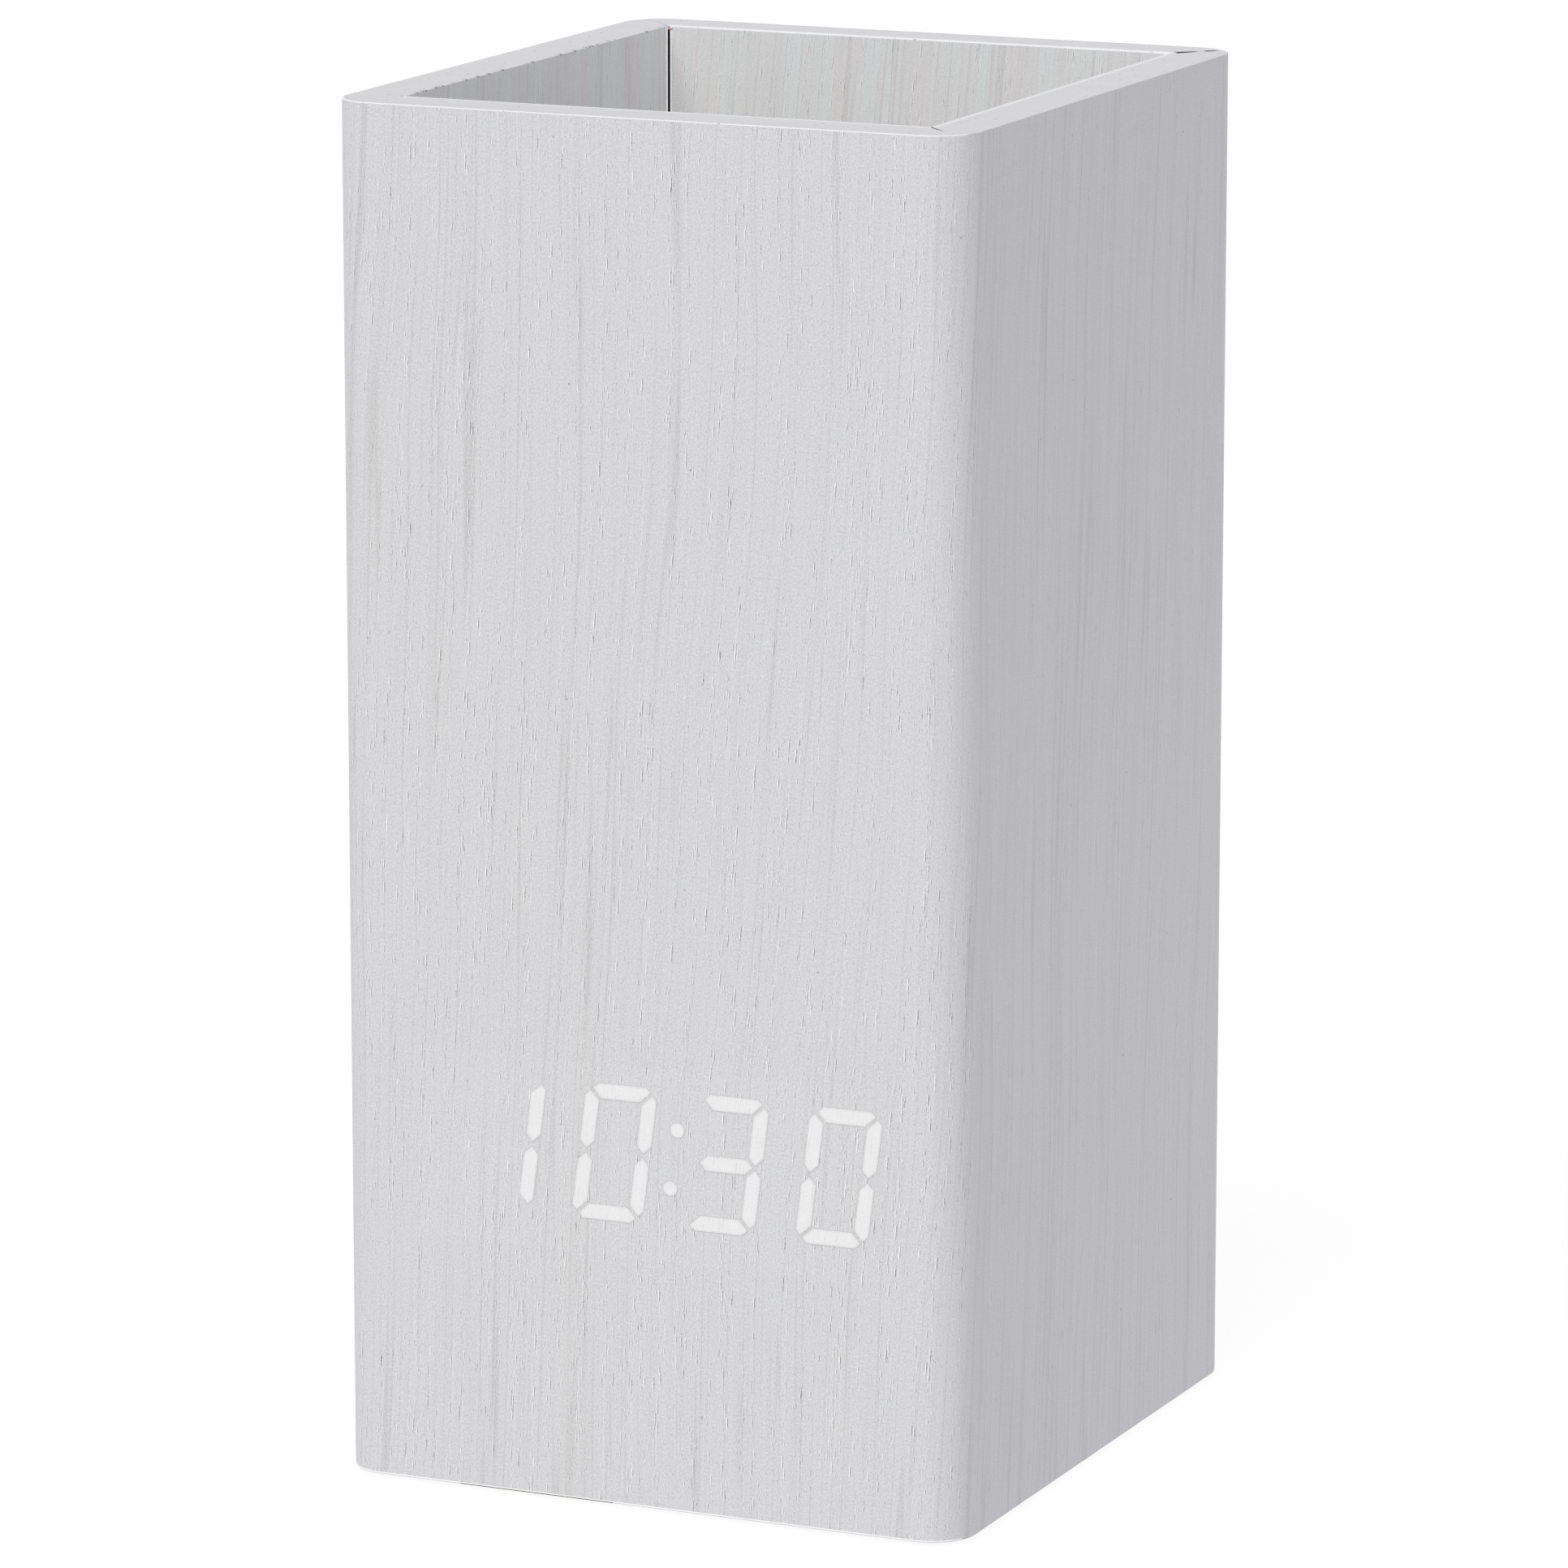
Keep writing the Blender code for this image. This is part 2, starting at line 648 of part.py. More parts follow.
def display_screw_places():
    """One screw above the display module's left end and one below its right end."""
    x = DISPLAY_BOARD_X - DISPLAY_SCREW_INSET
    return [(DISPLAY_X - x, DISPLAY_Z + DISPLAY_SCREW_Z), (DISPLAY_X + x, DISPLAY_Z - DISPLAY_SCREW_Z)]


def display_screw_holes():
    """Clearance holes that run through the display board and end blind in the front panel."""
    start = DISPLAY_BOARD_BACK + OVERRUN
    length = OVERRUN + DISPLAY_SCREW_LENGTH + FIT
    holes = [
        cylinder("display_screw_hole", SCREW_HOLE, length, (x, start, z), TURNED_FRONT, None, SCREW_STEPS)
        for x, z in display_screw_places()
    ]
    return merged("display_screw_holes", holes)


def make_case(opening, screw_holes, display_holes):
    quarter = math.radians(90)
    groove = floor_groove()
    front = panel("front_panel", INNER_X, INNER_Y, UPRIGHT)
    right = panel("right_panel", INNER_Y, INNER_X, Matrix.Rotation(quarter, 4, "Z"))
    back = panel("back_panel", INNER_X, INNER_Y, Matrix.Rotation(2 * quarter, 4, "Z"))
    left = panel("left_panel", INNER_Y, INNER_X, Matrix.Rotation(-quarter, 4, "Z"))
    for side in (front, right, back, left):
        cut(side, groove)
    cut(front, display_window(), display_holes)
    cut(back, opening, screw_holes)


def make_film(opening):
    """The outer skin: one sheet wrapped round the case, its ends meeting at the back left corner."""
    half_x, half_y = CASE_WIDTH / 2, CASE_DEPTH / 2
    outside = rounded_corners(half_x, half_y, CORNER_RADIUS, CORNER_STEPS)
    inside = rounded_corners(
        half_x - FILM_THICKNESS, half_y - FILM_THICKNESS, CORNER_RADIUS - FILM_THICKNESS, CORNER_STEPS
    )
    seam_x = -half_x + CORNER_RADIUS + FILM_SEAM
    outside.append((seam_x, half_y))
    inside.append((seam_x, half_y - FILM_THICKNESS))
    height = CLOCK_HEIGHT - CASE_BOTTOM
    at = (0, 0, CASE_BOTTOM + height / 2)
    film = flat_outline("grain_film", [outside + inside[::-1]], height, at, UPRIGHT, "grain_film")
    cut(film, opening)


def make_cup_floor():
    reach_x = INNER_X + FLOOR_GROOVE - FIT
    reach_y = INNER_Y + FLOOR_GROOVE - FIT
    block(
        "cup_floor",
        (-reach_x, -reach_y, FLOOR_BOTTOM),
        (reach_x, reach_y, FLOOR_TOP),
        "whitewashed_board",
    )


# Base plate with its battery tray, cleats, screws and feet


def base_screw_places():
    x = CLEAT_X - BASE_SCREW_INSET
    return [(side * x, end * CLEAT_Y) for side in (-1, 1) for end in (-1, 1)]


def base_screw_seats():
    """A counterbore and a clearance hole at each screw, which end blind in the cleats."""
    seat_z = BASE_BOTTOM + SCREW_HEAD_HEIGHT + 2 * FIT
    length = BASE_SCREW_LENGTH + FIT
    shapes = []
    for x, y in base_screw_places():
        at = (x, y, BASE_BOTTOM - OVERRUN)
        depth = seat_z - BASE_BOTTOM + OVERRUN
        shapes.append(cylinder("screw_seat", SCREW_HEAD_RADIUS + FIT, depth, at, UPRIGHT, None, SCREW_STEPS))
    seats = merged("base_screw_seats", shapes)
    start = seat_z - FIT
    shapes = [
        cylinder("screw_hole", SCREW_HOLE, length, (x, y, start), UPRIGHT, None, SCREW_STEPS)
        for x, y in base_screw_places()
    ]
    return seats, merged("base_screw_holes", shapes)


def hinge_slots():
    """Snap slots in the sides of the door's pocket, open below for the stub pins."""
    width = HINGE_PIN_RADIUS + FIT
    reach = DOOR_X + FIT + HINGE_PIN_LENGTH
    slots = [
        block(
            "hinge_slot",
            (min(side * (DOOR_X - OVERRUN), side * reach), HINGE_Y - width, BASE_BOTTOM - OVERRUN),
            (max(side * (DOOR_X - OVERRUN), side * reach), HINGE_Y + width, HINGE_Z + width),
        )
        for side in (-1, 1)
    ]
    return merged("hinge_slots", slots)


def tab_places():
    """Where the two terminal plates reach up through the tray: left and back, right and front."""
    x = TRAY_X - FIT - CONTACT_THICKNESS / 2
    y = CELL_PITCH * (CELL_COUNT - 1) / 2
    return [(-x, y), (x, -y)]


def tab_slots():
    slots = [
        block(
            "tab_slot",
            (x - CONTACT_THICKNESS / 2 - FIT, y - CONTACT_TAB_WIDTH / 2 - FIT, TRAY_CEILING - OVERRUN),
            (x + CONTACT_THICKNESS / 2 + FIT, y + CONTACT_TAB_WIDTH / 2 + FIT, TRAY_TOP + OVERRUN),
        )
        for x, y in tab_places()
    ]
    return merged("tab_slots", slots)


def make_base_plate(seats, holes):
    reach_x, reach_y = INNER_X - FIT, INNER_Y - FIT
    outline = rounded_corners(reach_x, reach_y, BASE_CORNER, CORNER_STEPS)
    middle = (0, 0, BASE_BOTTOM + BASE_THICKNESS / 2)
    plate = flat_outline("base_plate", [outline], BASE_THICKNESS, middle, UPRIGHT, "white_plastic")
    outer_x, outer_y = TRAY_X + TRAY_WALL, TRAY_Y + TRAY_WALL
    shell_bottom = DOOR_TOP + FIT + (BASE_TOP - DOOR_TOP - FIT) / 2
    shell = block("tray_shell", (-outer_x, -outer_y, shell_bottom), (outer_x, outer_y, TRAY_TOP))
    pocket = block(
        "door_pocket",
        (-DOOR_X - FIT, -DOOR_Y - FIT, BASE_BOTTOM - OVERRUN),
        (DOOR_X + FIT, DOOR_Y + FIT, DOOR_TOP + FIT),
    )
    well = block("tray_well", (-TRAY_X, -TRAY_Y, BASE_BOTTOM - OVERRUN), (TRAY_X, TRAY_Y, TRAY_CEILING))
    join(plate, shell)
    cut(plate, pocket, well)
    join(plate, tray_ribs())
    cut(plate, hinge_slots(), tab_slots(), seats, holes)


def tray_ribs():
    """Ribs that hang between the cells, short of the contacts at both ends."""
    length = TRAY_X - 2 * FIT - CONTACT_THICKNESS
    ribs = []
    for number in range(CELL_COUNT - 1):
        y = (number - (CELL_COUNT - 2) / 2) * CELL_PITCH
        ribs.append(
            block(
                "tray_rib",
                (-length, y - TRAY_RIB_THICKNESS / 2, TRAY_CEILING - TRAY_RIB_DEPTH),
                (length, y + TRAY_RIB_THICKNESS / 2, TRAY_CEILING + TRAY_WALL / 2),
            )
        )
    return merged("tray_ribs", ribs)


def make_battery_door():
    """The door's section is drawn about its hinge axis, with a half-round edge there."""
    radius = DOOR_THICKNESS / 2
    width = DOOR_Y - HINGE_Y
    section = arc((0.0, 0.0), radius, math.pi / 2, 3 * math.pi / 2, CORNER_STEPS)
    section += [(width, -radius), (width, radius)]
    hinge = (0, HINGE_Y, HINGE_Z)
    door = flat_outline("battery_door", [section], 2 * DOOR_X, hinge, ALONG_X, "white_plastic")
    pins = [
        cylinder(
            "hinge_pin",
            HINGE_PIN_RADIUS,
            2 * HINGE_PIN_LENGTH,
            (side * (DOOR_X - HINGE_PIN_LENGTH), HINGE_Y, HINGE_Z),
            TURNED_RIGHT if side > 0 else TURNED_LEFT,
            None,
            SMALL_ROUND_STEPS,
        )
        for side in (-1, 1)
    ]
    join(door, merged("hinge_pins", pins))
    cut(door, latch_slits(), finger_scoop(), grip_grooves())


def latch_slits():
    """Two slits that free the latch tongue in the door's edge."""
    slits = []
    for side in (-1, 1):
        middle = side * (LATCH_WIDTH + LATCH_SLIT) / 2
        slits.append(
            block(
                "latch_slit",
                (middle - LATCH_SLIT / 2, DOOR_Y - LATCH_LENGTH, BASE_BOTTOM - OVERRUN),
                (middle + LATCH_SLIT / 2, DOOR_Y + OVERRUN, DOOR_TOP + OVERRUN),
            )
        )
    return merged("latch_slits", slits)


def finger_scoop():
    """A shallow hollow across the latch tongue for a fingertip."""
    length = LATCH_WIDTH - 2 * LATCH_SLIT
    at = (-length / 2, DOOR_Y - LATCH_LENGTH / 2, BASE_BOTTOM - FINGER_SCOOP_RADIUS + FINGER_SCOOP_DEPTH)
    return cylinder("finger_scoop", FINGER_SCOOP_RADIUS, length, at, TURNED_RIGHT, None, 2 * ROUND_STEPS)


def grip_grooves():
    start = DOOR_Y - LATCH_LENGTH - GRIP_GROOVE_PITCH
    grooves = []
    for number in range(GRIP_GROOVES):
        y = start - number * GRIP_GROOVE_PITCH
        grooves.append(
            block(
                "grip_groove",
                (-LATCH_WIDTH / 2, y - GRIP_GROOVE_WIDTH / 2, BASE_BOTTOM - OVERRUN),
                (LATCH_WIDTH / 2, y + GRIP_GROOVE_WIDTH / 2, BASE_BOTTOM + GRIP_GROOVE_DEPTH),
            )
        )
    return merged("grip_grooves", grooves)


def make_cleats(holes):
    for name, side in (("front_cleat", -1), ("rear_cleat", 1)):
        y = side * CLEAT_Y
        cleat = block(
            name,
            (-CLEAT_X, y - CLEAT_DEPTH / 2, CLEAT_BOTTOM),
            (CLEAT_X, y + CLEAT_DEPTH / 2, CLEAT_BOTTOM + CLEAT_HEIGHT),
            "bare_batten",
        )
        cut(cleat, holes)


def make_screw(name, at, turn, length):
    """A pan-head screw whose head sits below the given seat and whose shank runs along z."""
    head_edge = SCREW_HEAD_HEIGHT / 3
    profile = [
        (0.0, length),
        (SCREW_RADIUS, length - SCREW_POINT),
        (SCREW_RADIUS, 0.0),
        (SCREW_HEAD_RADIUS, 0.0),
        (SCREW_HEAD_RADIUS, -SCREW_HEAD_HEIGHT + head_edge),
        (SCREW_HEAD_RADIUS - head_edge, -SCREW_HEAD_HEIGHT),
        (0.0, -SCREW_HEAD_HEIGHT),
    ]
    turned(name, profile, at, turn, "zinc_screw", SCREW_STEPS)


def make_base_screws():
    for number, (x, y) in enumerate(base_screw_places(), 1):
        at = (x, y, BASE_BOTTOM + SCREW_HEAD_HEIGHT + FIT)
        make_screw(f"base_screw_{number}", at, UPRIGHT, BASE_SCREW_LENGTH)


def make_feet():
    height = BASE_BOTTOM - FIT
    profile = [
        (0.0, height),
        (FOOT_RADIUS, height),
        (FOOT_RADIUS, FOOT_EDGE),
        (FOOT_RADIUS - FOOT_EDGE, 0.0),
        (0.0, 0.0),
    ]
    x = INNER_X - FIT - FOOT_INSET
    y = INNER_Y - FIT - FOOT_INSET
    for side_y, row in ((-1, "front"), (1, "rear")):
        for side_x, column in ((-1, "left"), (1, "right")):
            at = (side_x * x, side_y * y, 0)
            turned(f"foot_{row}_{column}", profile, at, UPRIGHT, "grey_rubber")


# Cells, springs and contacts


def cell_places():
    """Each cell's number, its y, and the side of x that its positive end points to."""
    first = -CELL_PITCH * (CELL_COUNT - 1) / 2
    return [(n + 1, first + n * CELL_PITCH, -1 if n % 2 == 0 else 1) for n in range(CELL_COUNT)]


def make_cells():
    body = CELL_LENGTH - NUB_HEIGHT
    profile = [
        (0.0, CELL_LENGTH),
        (NUB_RADIUS, CELL_LENGTH),
        (NUB_RADIUS, body),
        (CELL_RADIUS - CELL_EDGE, body),
        (CELL_RADIUS, body - CELL_EDGE),
        (CELL_RADIUS, CELL_EDGE),
        (CELL_RADIUS - CELL_EDGE, 0.0),
        (0.0, 0.0),
    ]
    foot = TRAY_X - 3 * FIT - CONTACT_THICKNESS - SPRING_LENGTH
    for number, y, side in cell_places():
        turn = TURNED_RIGHT if side > 0 else TURNED_LEFT
        turned(f"battery_cell_{number}", profile, (-side * foot, y, CELL_Z), turn, "cell_jacket")


def make_springs():
    """A conical spring at each cell's flat end, wide where it stands on its plate."""
    wire = SPRING_WIRE_RADIUS
    start = TRAY_X - 2 * FIT - CONTACT_THICKNESS - wire
    run = SPRING_LENGTH - 2 * wire
    steps = SPRING_TURNS * SPRING_STEPS_PER_TURN
    for number, y, side in cell_places():
        points = []
        for step in range(steps + 1):
            share = step / steps
            radius = SPRING_FOOT_RADIUS + (SPRING_TIP_RADIUS - SPRING_FOOT_RADIUS) * share
            angle = 2 * math.pi * SPRING_TURNS * share
            points.append(
                (
                    -side * (start - run * share),
                    y + radius * math.cos(angle),
                    CELL_Z + radius * math.sin(angle),
                )
            )
        tube(f"cell_spring_{number}", points, wire, "nickel")


def make_contacts():
    """Single plates at the two terminals, and at each end a plate that links two cells."""
    x = TRAY_X - FIT - CONTACT_THICKNESS / 2
    half = CONTACT_SIZE / 2
    outer = CELL_PITCH * (CELL_COUNT - 1) / 2
    top = TRAY_TOP + CONTACT_TAB_RISE
    for (tab_x, tab_y), name in zip(tab_places(), ("contact_positive", "contact_negative")):
        plate = contact_plate(name, tab_x, tab_y - half, tab_y + half)
        tab = block(
            name + "_tab",
            (tab_x - CONTACT_THICKNESS / 2, tab_y - CONTACT_TAB_WIDTH / 2, CELL_Z),
            (tab_x + CONTACT_THICKNESS / 2, tab_y + CONTACT_TAB_WIDTH / 2, top),
        )
        join(plate, tab)
    contact_plate("contact_link_left", -x, -outer - half, half)
    contact_plate("contact_link_right", x, -half, outer + half)


def contact_plate(name, x, low_y, high_y):
    half = CONTACT_SIZE / 2
    return block(
        name,
        (x - CONTACT_THICKNESS / 2, low_y, CELL_Z - half),
        (x + CONTACT_THICKNESS / 2, high_y, CELL_Z + half),
        "nickel",
    )


# Seven-segment display behind the film


def segment_outlines():
    """The seven segments of an upright digit about its middle, with slits of one width between them."""
    half_w, half_h = DIGIT_WIDTH / 2, DIGIT_HEIGHT / 2
    slit = SEGMENT_GAP / math.sqrt(2)
    lean = half_h - half_w
    reach = half_w + half_h - SEGMENT_CHAMFER
    inner_w, inner_h = half_w - STROKE, half_h - STROKE
    top_right = [
        (inner_h - lean - slit, inner_h),
        ((reach - lean - slit) / 2, (reach + lean + slit) / 2),
        (reach - half_h, half_h),
    ]
    top = top_right + mirrored(top_right)
    upper_right = [
        (half_w - STROKE / 2, slit),
        (half_w, slit + STROKE / 2),
        (half_w, reach - half_w),
        ((reach - lean + slit) / 2, (reach + lean - slit) / 2),
        (inner_w, inner_w + lean - slit),
        (inner_w, slit + STROKE / 2),
    ]
    middle_right = [
        (inner_w - slit, -STROKE / 2),
        (half_w - STROKE / 2 - slit, 0.0),
        (inner_w - slit, STROKE / 2),
    ]
    middle = middle_right + mirrored(middle_right)
    upper_left = mirrored(upper_right)

    def lower(points):
        return [(x, -y) for x, y in reversed(points)]

    return [top, upper_right, lower(upper_right), lower(top), lower(upper_left), upper_left, middle]


def well_outlines():
    """Every light well of the display, slanted, about the middle of the module."""
    outlines = []
    for number in range(DIGIT_COUNT):
        middle = (number - (DIGIT_COUNT - 1) / 2) * DIGIT_PITCH
        for outline in segment_outlines():
            outlines.append([(middle + x + DIGIT_SLANT_SHARE * y, y) for x, y in outline])
    for side in (-1, 1):
        y = side * COLON_RISE
        centre = (COLON_OFFSET_X + DIGIT_SLANT_SHARE * y, y)
        outlines.append(circle(centre, COLON_RADIUS, COLON_STEPS))
    return outlines


def outline_middle(outline):
    xs = [x for x, _ in outline]
    ys = [y for _, y in outline]
    return (min(xs) + max(xs)) / 2, (min(ys) + max(ys)) / 2


def light_wells():
    """Funnels that narrow from each segment's mouth to the throat over its light."""
    depth = REFLECTOR_BACK - REFLECTOR_FRONT
    shape = bmesh.new()
    for outline in well_outlines():
        middle_x, middle_y = outline_middle(outline)
        mouth = [shape.verts.new((x, y, 0.0)) for x, y in outline]
        face = shape.faces.new(mouth)
        grown = bmesh.ops.extrude_face_region(shape, geom=[face])["geom"]
        throat = [part for part in grown if isinstance(part, bmesh.types.BMVert)]
        bmesh.ops.translate(shape, vec=(0, 0, -depth), verts=throat)
        narrow = (WELL_THROAT_SHARE, WELL_THROAT_SHARE, 1)
        space = Matrix.Translation((-middle_x, -middle_y, 0))
        bmesh.ops.scale(shape, vec=narrow, verts=throat, space=space)
    lengthen_wells(shape, depth)
    bmesh.ops.recalc_face_normals(shape, faces=shape.faces)
    mesh = bpy.data.meshes.new("light_wells")
    shape.to_mesh(mesh)
    shape.free()
    return add_object("light_wells", mesh, (DISPLAY_X, REFLECTOR_FRONT, DISPLAY_Z), FACING_FRONT, None)


def lengthen_wells(shape, depth):
    """Carry both ends of each funnel straight on past the block, so that the cut goes right through."""
    ends = [face for face in shape.faces if abs(face.normal.z) > 1 / 2]
    for face in ends:
        rise = FIT if face.calc_center_median().z > -depth / 2 else -FIT
        grown = bmesh.ops.extrude_discrete_faces(shape, faces=[face])["faces"]
        bmesh.ops.translate(shape, vec=(0, 0, rise), verts=grown[0].verts)


def make_display():
    width, height = 2 * MODULE_X, 2 * MODULE_Z
    reflector = block(
        "display_reflector",
        (DISPLAY_X - width / 2, REFLECTOR_FRONT, DISPLAY_Z - height / 2),
        (DISPLAY_X + width / 2, REFLECTOR_BACK, DISPLAY_Z + height / 2),
        "reflector_white",
    )
    cut(reflector, light_wells())
    block(
        "diffuser_sheet",
        (DISPLAY_X - width / 2, DIFFUSER_FRONT, DISPLAY_Z - height / 2),
        (DISPLAY_X + width / 2, DIFFUSER_FRONT + DIFFUSER_THICKNESS, DISPLAY_Z + height / 2),
        "diffuser",
    )


def light_size(outline):
    """Half sizes of the light behind a well: along the segment, or square behind a round dot."""
    span_x, span_z = (max(axis) - min(axis) for axis in zip(*outline))
    across, along = LED_WIDTH / 2, LED_LENGTH / 2
    if max(span_x, span_z) < 2 * min(span_x, span_z):
        return across, across
    if span_x > span_z:
        return along, across
    return across, along


def make_display_board(screw_holes):
    board = block(
        "display_board",
        (DISPLAY_X - DISPLAY_BOARD_X, DISPLAY_BOARD_FRONT, DISPLAY_Z - DISPLAY_BOARD_Z),
        (DISPLAY_X + DISPLAY_BOARD_X, DISPLAY_BOARD_BACK, DISPLAY_Z + DISPLAY_BOARD_Z),
        "circuit_board",
    )
    lights = []
    for outline in well_outlines():
        middle_x, middle_y = outline_middle(outline)
        half_x, half_z = light_size(outline)
        x, z = DISPLAY_X + middle_x, DISPLAY_Z + middle_y
        low = (x - half_x, DISPLAY_BOARD_FRONT - LED_HEIGHT, z - half_z)
        high = (x + half_x, DISPLAY_BOARD_FRONT + BOARD_THICKNESS / 2, z + half_z)
        lights.append(block("light", low, high))
    join(board, merged("lights", lights))
    header = block(
        "display_header",
        (-HEADER_WIDTH / 2, DISPLAY_BOARD_BACK - BOARD_THICKNESS / 2, DISPLAY_HEADER_Z - HEADER_HEIGHT / 2),
        (HEADER_WIDTH / 2, DISPLAY_BOARD_BACK + HEADER_DEPTH, DISPLAY_HEADER_Z + HEADER_HEIGHT / 2),
    )
    join(board, header)
    cut(board, screw_holes)


def make_display_screws():
    for number, (x, z) in enumerate(display_screw_places(), 1):
        at = (x, DISPLAY_BOARD_BACK + FIT, z)
        make_screw(f"display_screw_{number}", at, TURNED_FRONT, DISPLAY_SCREW_LENGTH)


# Control panel, buttons and switches


def control_places():
    """The x of the three buttons and of the power inlet."""
    return [place * CONTROL_PITCH - CONTROL_SPAN / 2 for place in range(CONTROL_COUNT)]


def post_places():
    x = BOARD_X - POST_INSET_X
    z = BOARD_Z - POST_INSET_Z
    return [(side * x, OPENING_Z + up * z) for side in (-1, 1) for up in (-1, 1)]


def board_screw_places():
    """Two of the four posts, diagonally opposite, take a screw."""
    return [post_places()[0], post_places()[-1]]


def make_control_panel(screw_holes):
    middle = (FLANGE_INNER + BEZEL_OUTER) / 2
    outline = rounded_corners(BEZEL_X, BEZEL_Z, OPENING_CORNER - FIT, CORNER_STEPS)
    depth = BEZEL_OUTER - FLANGE_INNER
    bezel = flat_outline(
        "control_panel", [outline], depth, (0, middle, OPENING_Z), FACING_FRONT, "white_plastic"
    )
    flange = block(
        "flange",
        (-FLANGE_X, FLANGE_INNER, OPENING_Z - FLANGE_Z),
        (FLANGE_X, FLANGE_OUTER, OPENING_Z + FLANGE_Z),
    )
    hollow = block(
        "bezel_hollow",
        (-BEZEL_X + BEZEL_WALL, FLANGE_INNER - OVERRUN, OPENING_Z - BEZEL_Z + BEZEL_WALL),
        (BEZEL_X - BEZEL_WALL, BEZEL_INNER, OPENING_Z + BEZEL_Z - BEZEL_WALL),
    )
    post_start = BOARD_BACK + FIT
    post_length = FLANGE_INNER + BEZEL_FLANGE / 2 - post_start
    posts = [
        cylinder("post", POST_RADIUS, post_length, (x, post_start, z), TURNED_BACK)
        for x, z in post_places()
    ]
    join(bezel, flange)
    cut(bezel, hollow)
    join(bezel, merged("posts", posts))
    cut(bezel, control_holes(), post_holes(), screw_holes)


def control_holes():
    *buttons, inlet = control_places()
    start = BEZEL_INNER - OVERRUN
    length = BEZEL_FACE + 2 * OVERRUN
    holes = [
        cylinder("button_hole", BUTTON_RADIUS + FIT, length, (x, start, OPENING_Z), TURNED_BACK)
        for x in buttons
    ]
    holes.append(cylinder("inlet_hole", INLET_RADIUS, length, (inlet, start, OPENING_Z), TURNED_BACK))
    return merged("control_holes", holes)


def post_holes():
    """Pilot holes for the board's screws, blind in the posts and open through the board."""
    start = BOARD_FRONT - OVERRUN
    length = OVERRUN + BOARD_SCREW_LENGTH
    holes = [
        cylinder("post_hole", SCREW_HOLE, length, (x, start, z), TURNED_BACK, None, SCREW_STEPS)
        for x, z in board_screw_places()
    ]
    return merged("post_holes", holes)


def make_panel_screws():
    for number, (x, z) in enumerate(bezel_screw_places(), 1):
        make_screw(f"panel_screw_{number}", (x, FLANGE_INNER - FIT, z), TURNED_BACK, PANEL_SCREW_LENGTH)


def make_buttons():
    """A cap, its switch and the switch's plunger for each of the three buttons."""
    flange_top = BEZEL_INNER - FIT
    flange_bottom = flange_top - BUTTON_FLANGE_THICKNESS
    profile = [
        (0.0, BUTTON_FACE),
        (BUTTON_RADIUS - BUTTON_EDGE, BUTTON_FACE),
        (BUTTON_RADIUS, BUTTON_FACE - BUTTON_EDGE),
        (BUTTON_RADIUS, flange_top),
        (BUTTON_RADIUS + BUTTON_FLANGE, flange_top),
        (BUTTON_RADIUS + BUTTON_FLANGE, flange_bottom),
        (BUTTON_STEM_RADIUS, flange_bottom),
        (BUTTON_STEM_RADIUS, BUTTON_STEM_END),
        (0.0, BUTTON_STEM_END),
    ]
    for name, x in zip(("set", "up", "down"), control_places()):
        turned(f"{name}_button", profile, (x, 0, OPENING_Z), TURNED_BACK, "white_plastic")
        make_switch(name, x)


def make_switch(name, x):
    half = SWITCH_SIZE / 2
    body = block(
        f"{name}_switch",
        (x - half, SWITCH_FOOT, OPENING_Z - half),
        (x + half, SWITCH_TOP, OPENING_Z + half),
        "black_plastic",
        SWITCH_EDGE,
    )
    bore_start = SWITCH_TOP - SWITCH_BORE_DEPTH
    bore_length = SWITCH_BORE_DEPTH + OVERRUN
    bore = cylinder(
        f"{name}_switch_bore",
        SWITCH_BORE_RADIUS,
        bore_length,
        (x, bore_start, OPENING_Z),
        TURNED_BACK,
        None,
        SMALL_ROUND_STEPS,
    )
    cut(body, bore)
    cylinder(
        f"{name}_plunger",
        PLUNGER_RADIUS,
        PLUNGER_SUNK + PLUNGER_RISE,
        (x, SWITCH_TOP - PLUNGER_SUNK, OPENING_Z),
        TURNED_BACK,
        "black_plastic",
        SMALL_ROUND_STEPS,
    )


def make_power_inlet():
    x = control_places()[-1]
    half = JACK_SIZE / 2
    mouth = BEZEL_INNER - FIT
    jack = block(
        "power_jack",
        (x - half, BOARD_BACK + FIT, OPENING_Z - half),
        (x + half, mouth, OPENING_Z + half),
        "black_plastic",
        JACK_EDGE,
    )
    bottom = BOARD_BACK + FIT + JACK_FLOOR
    bore_at = (x, bottom, OPENING_Z)
    bore = cylinder("jack_bore", JACK_BORE_RADIUS, mouth - bottom + OVERRUN, bore_at, TURNED_BACK)
    pin_start = bottom - JACK_FLOOR / 2
    pin_length = mouth - JACK_PIN_SHORT - pin_start
    pin_at = (x, pin_start, OPENING_Z)
    pin = cylinder("jack_pin", JACK_PIN_RADIUS, pin_length, pin_at, TURNED_BACK, None, SMALL_ROUND_STEPS)
    cut(jack, bore)
    join(jack, pin)


# Main board and what it carries


def make_main_board():
    board = block(
        "main_board",
        (-BOARD_X, BOARD_FRONT, OPENING_Z - BOARD_Z),
        (BOARD_X, BOARD_BACK, OPENING_Z + BOARD_Z),
        "circuit_board",
    )
    header = block(
        "board_header",
        (-HEADER_WIDTH / 2, BOARD_FRONT - HEADER_DEPTH, HEADER_Z - HEADER_HEIGHT / 2),
        (HEADER_WIDTH / 2, BOARD_FRONT + BOARD_THICKNESS / 2, HEADER_Z + HEADER_HEIGHT / 2),
    )
    join(board, header)
    cut(board, post_holes())


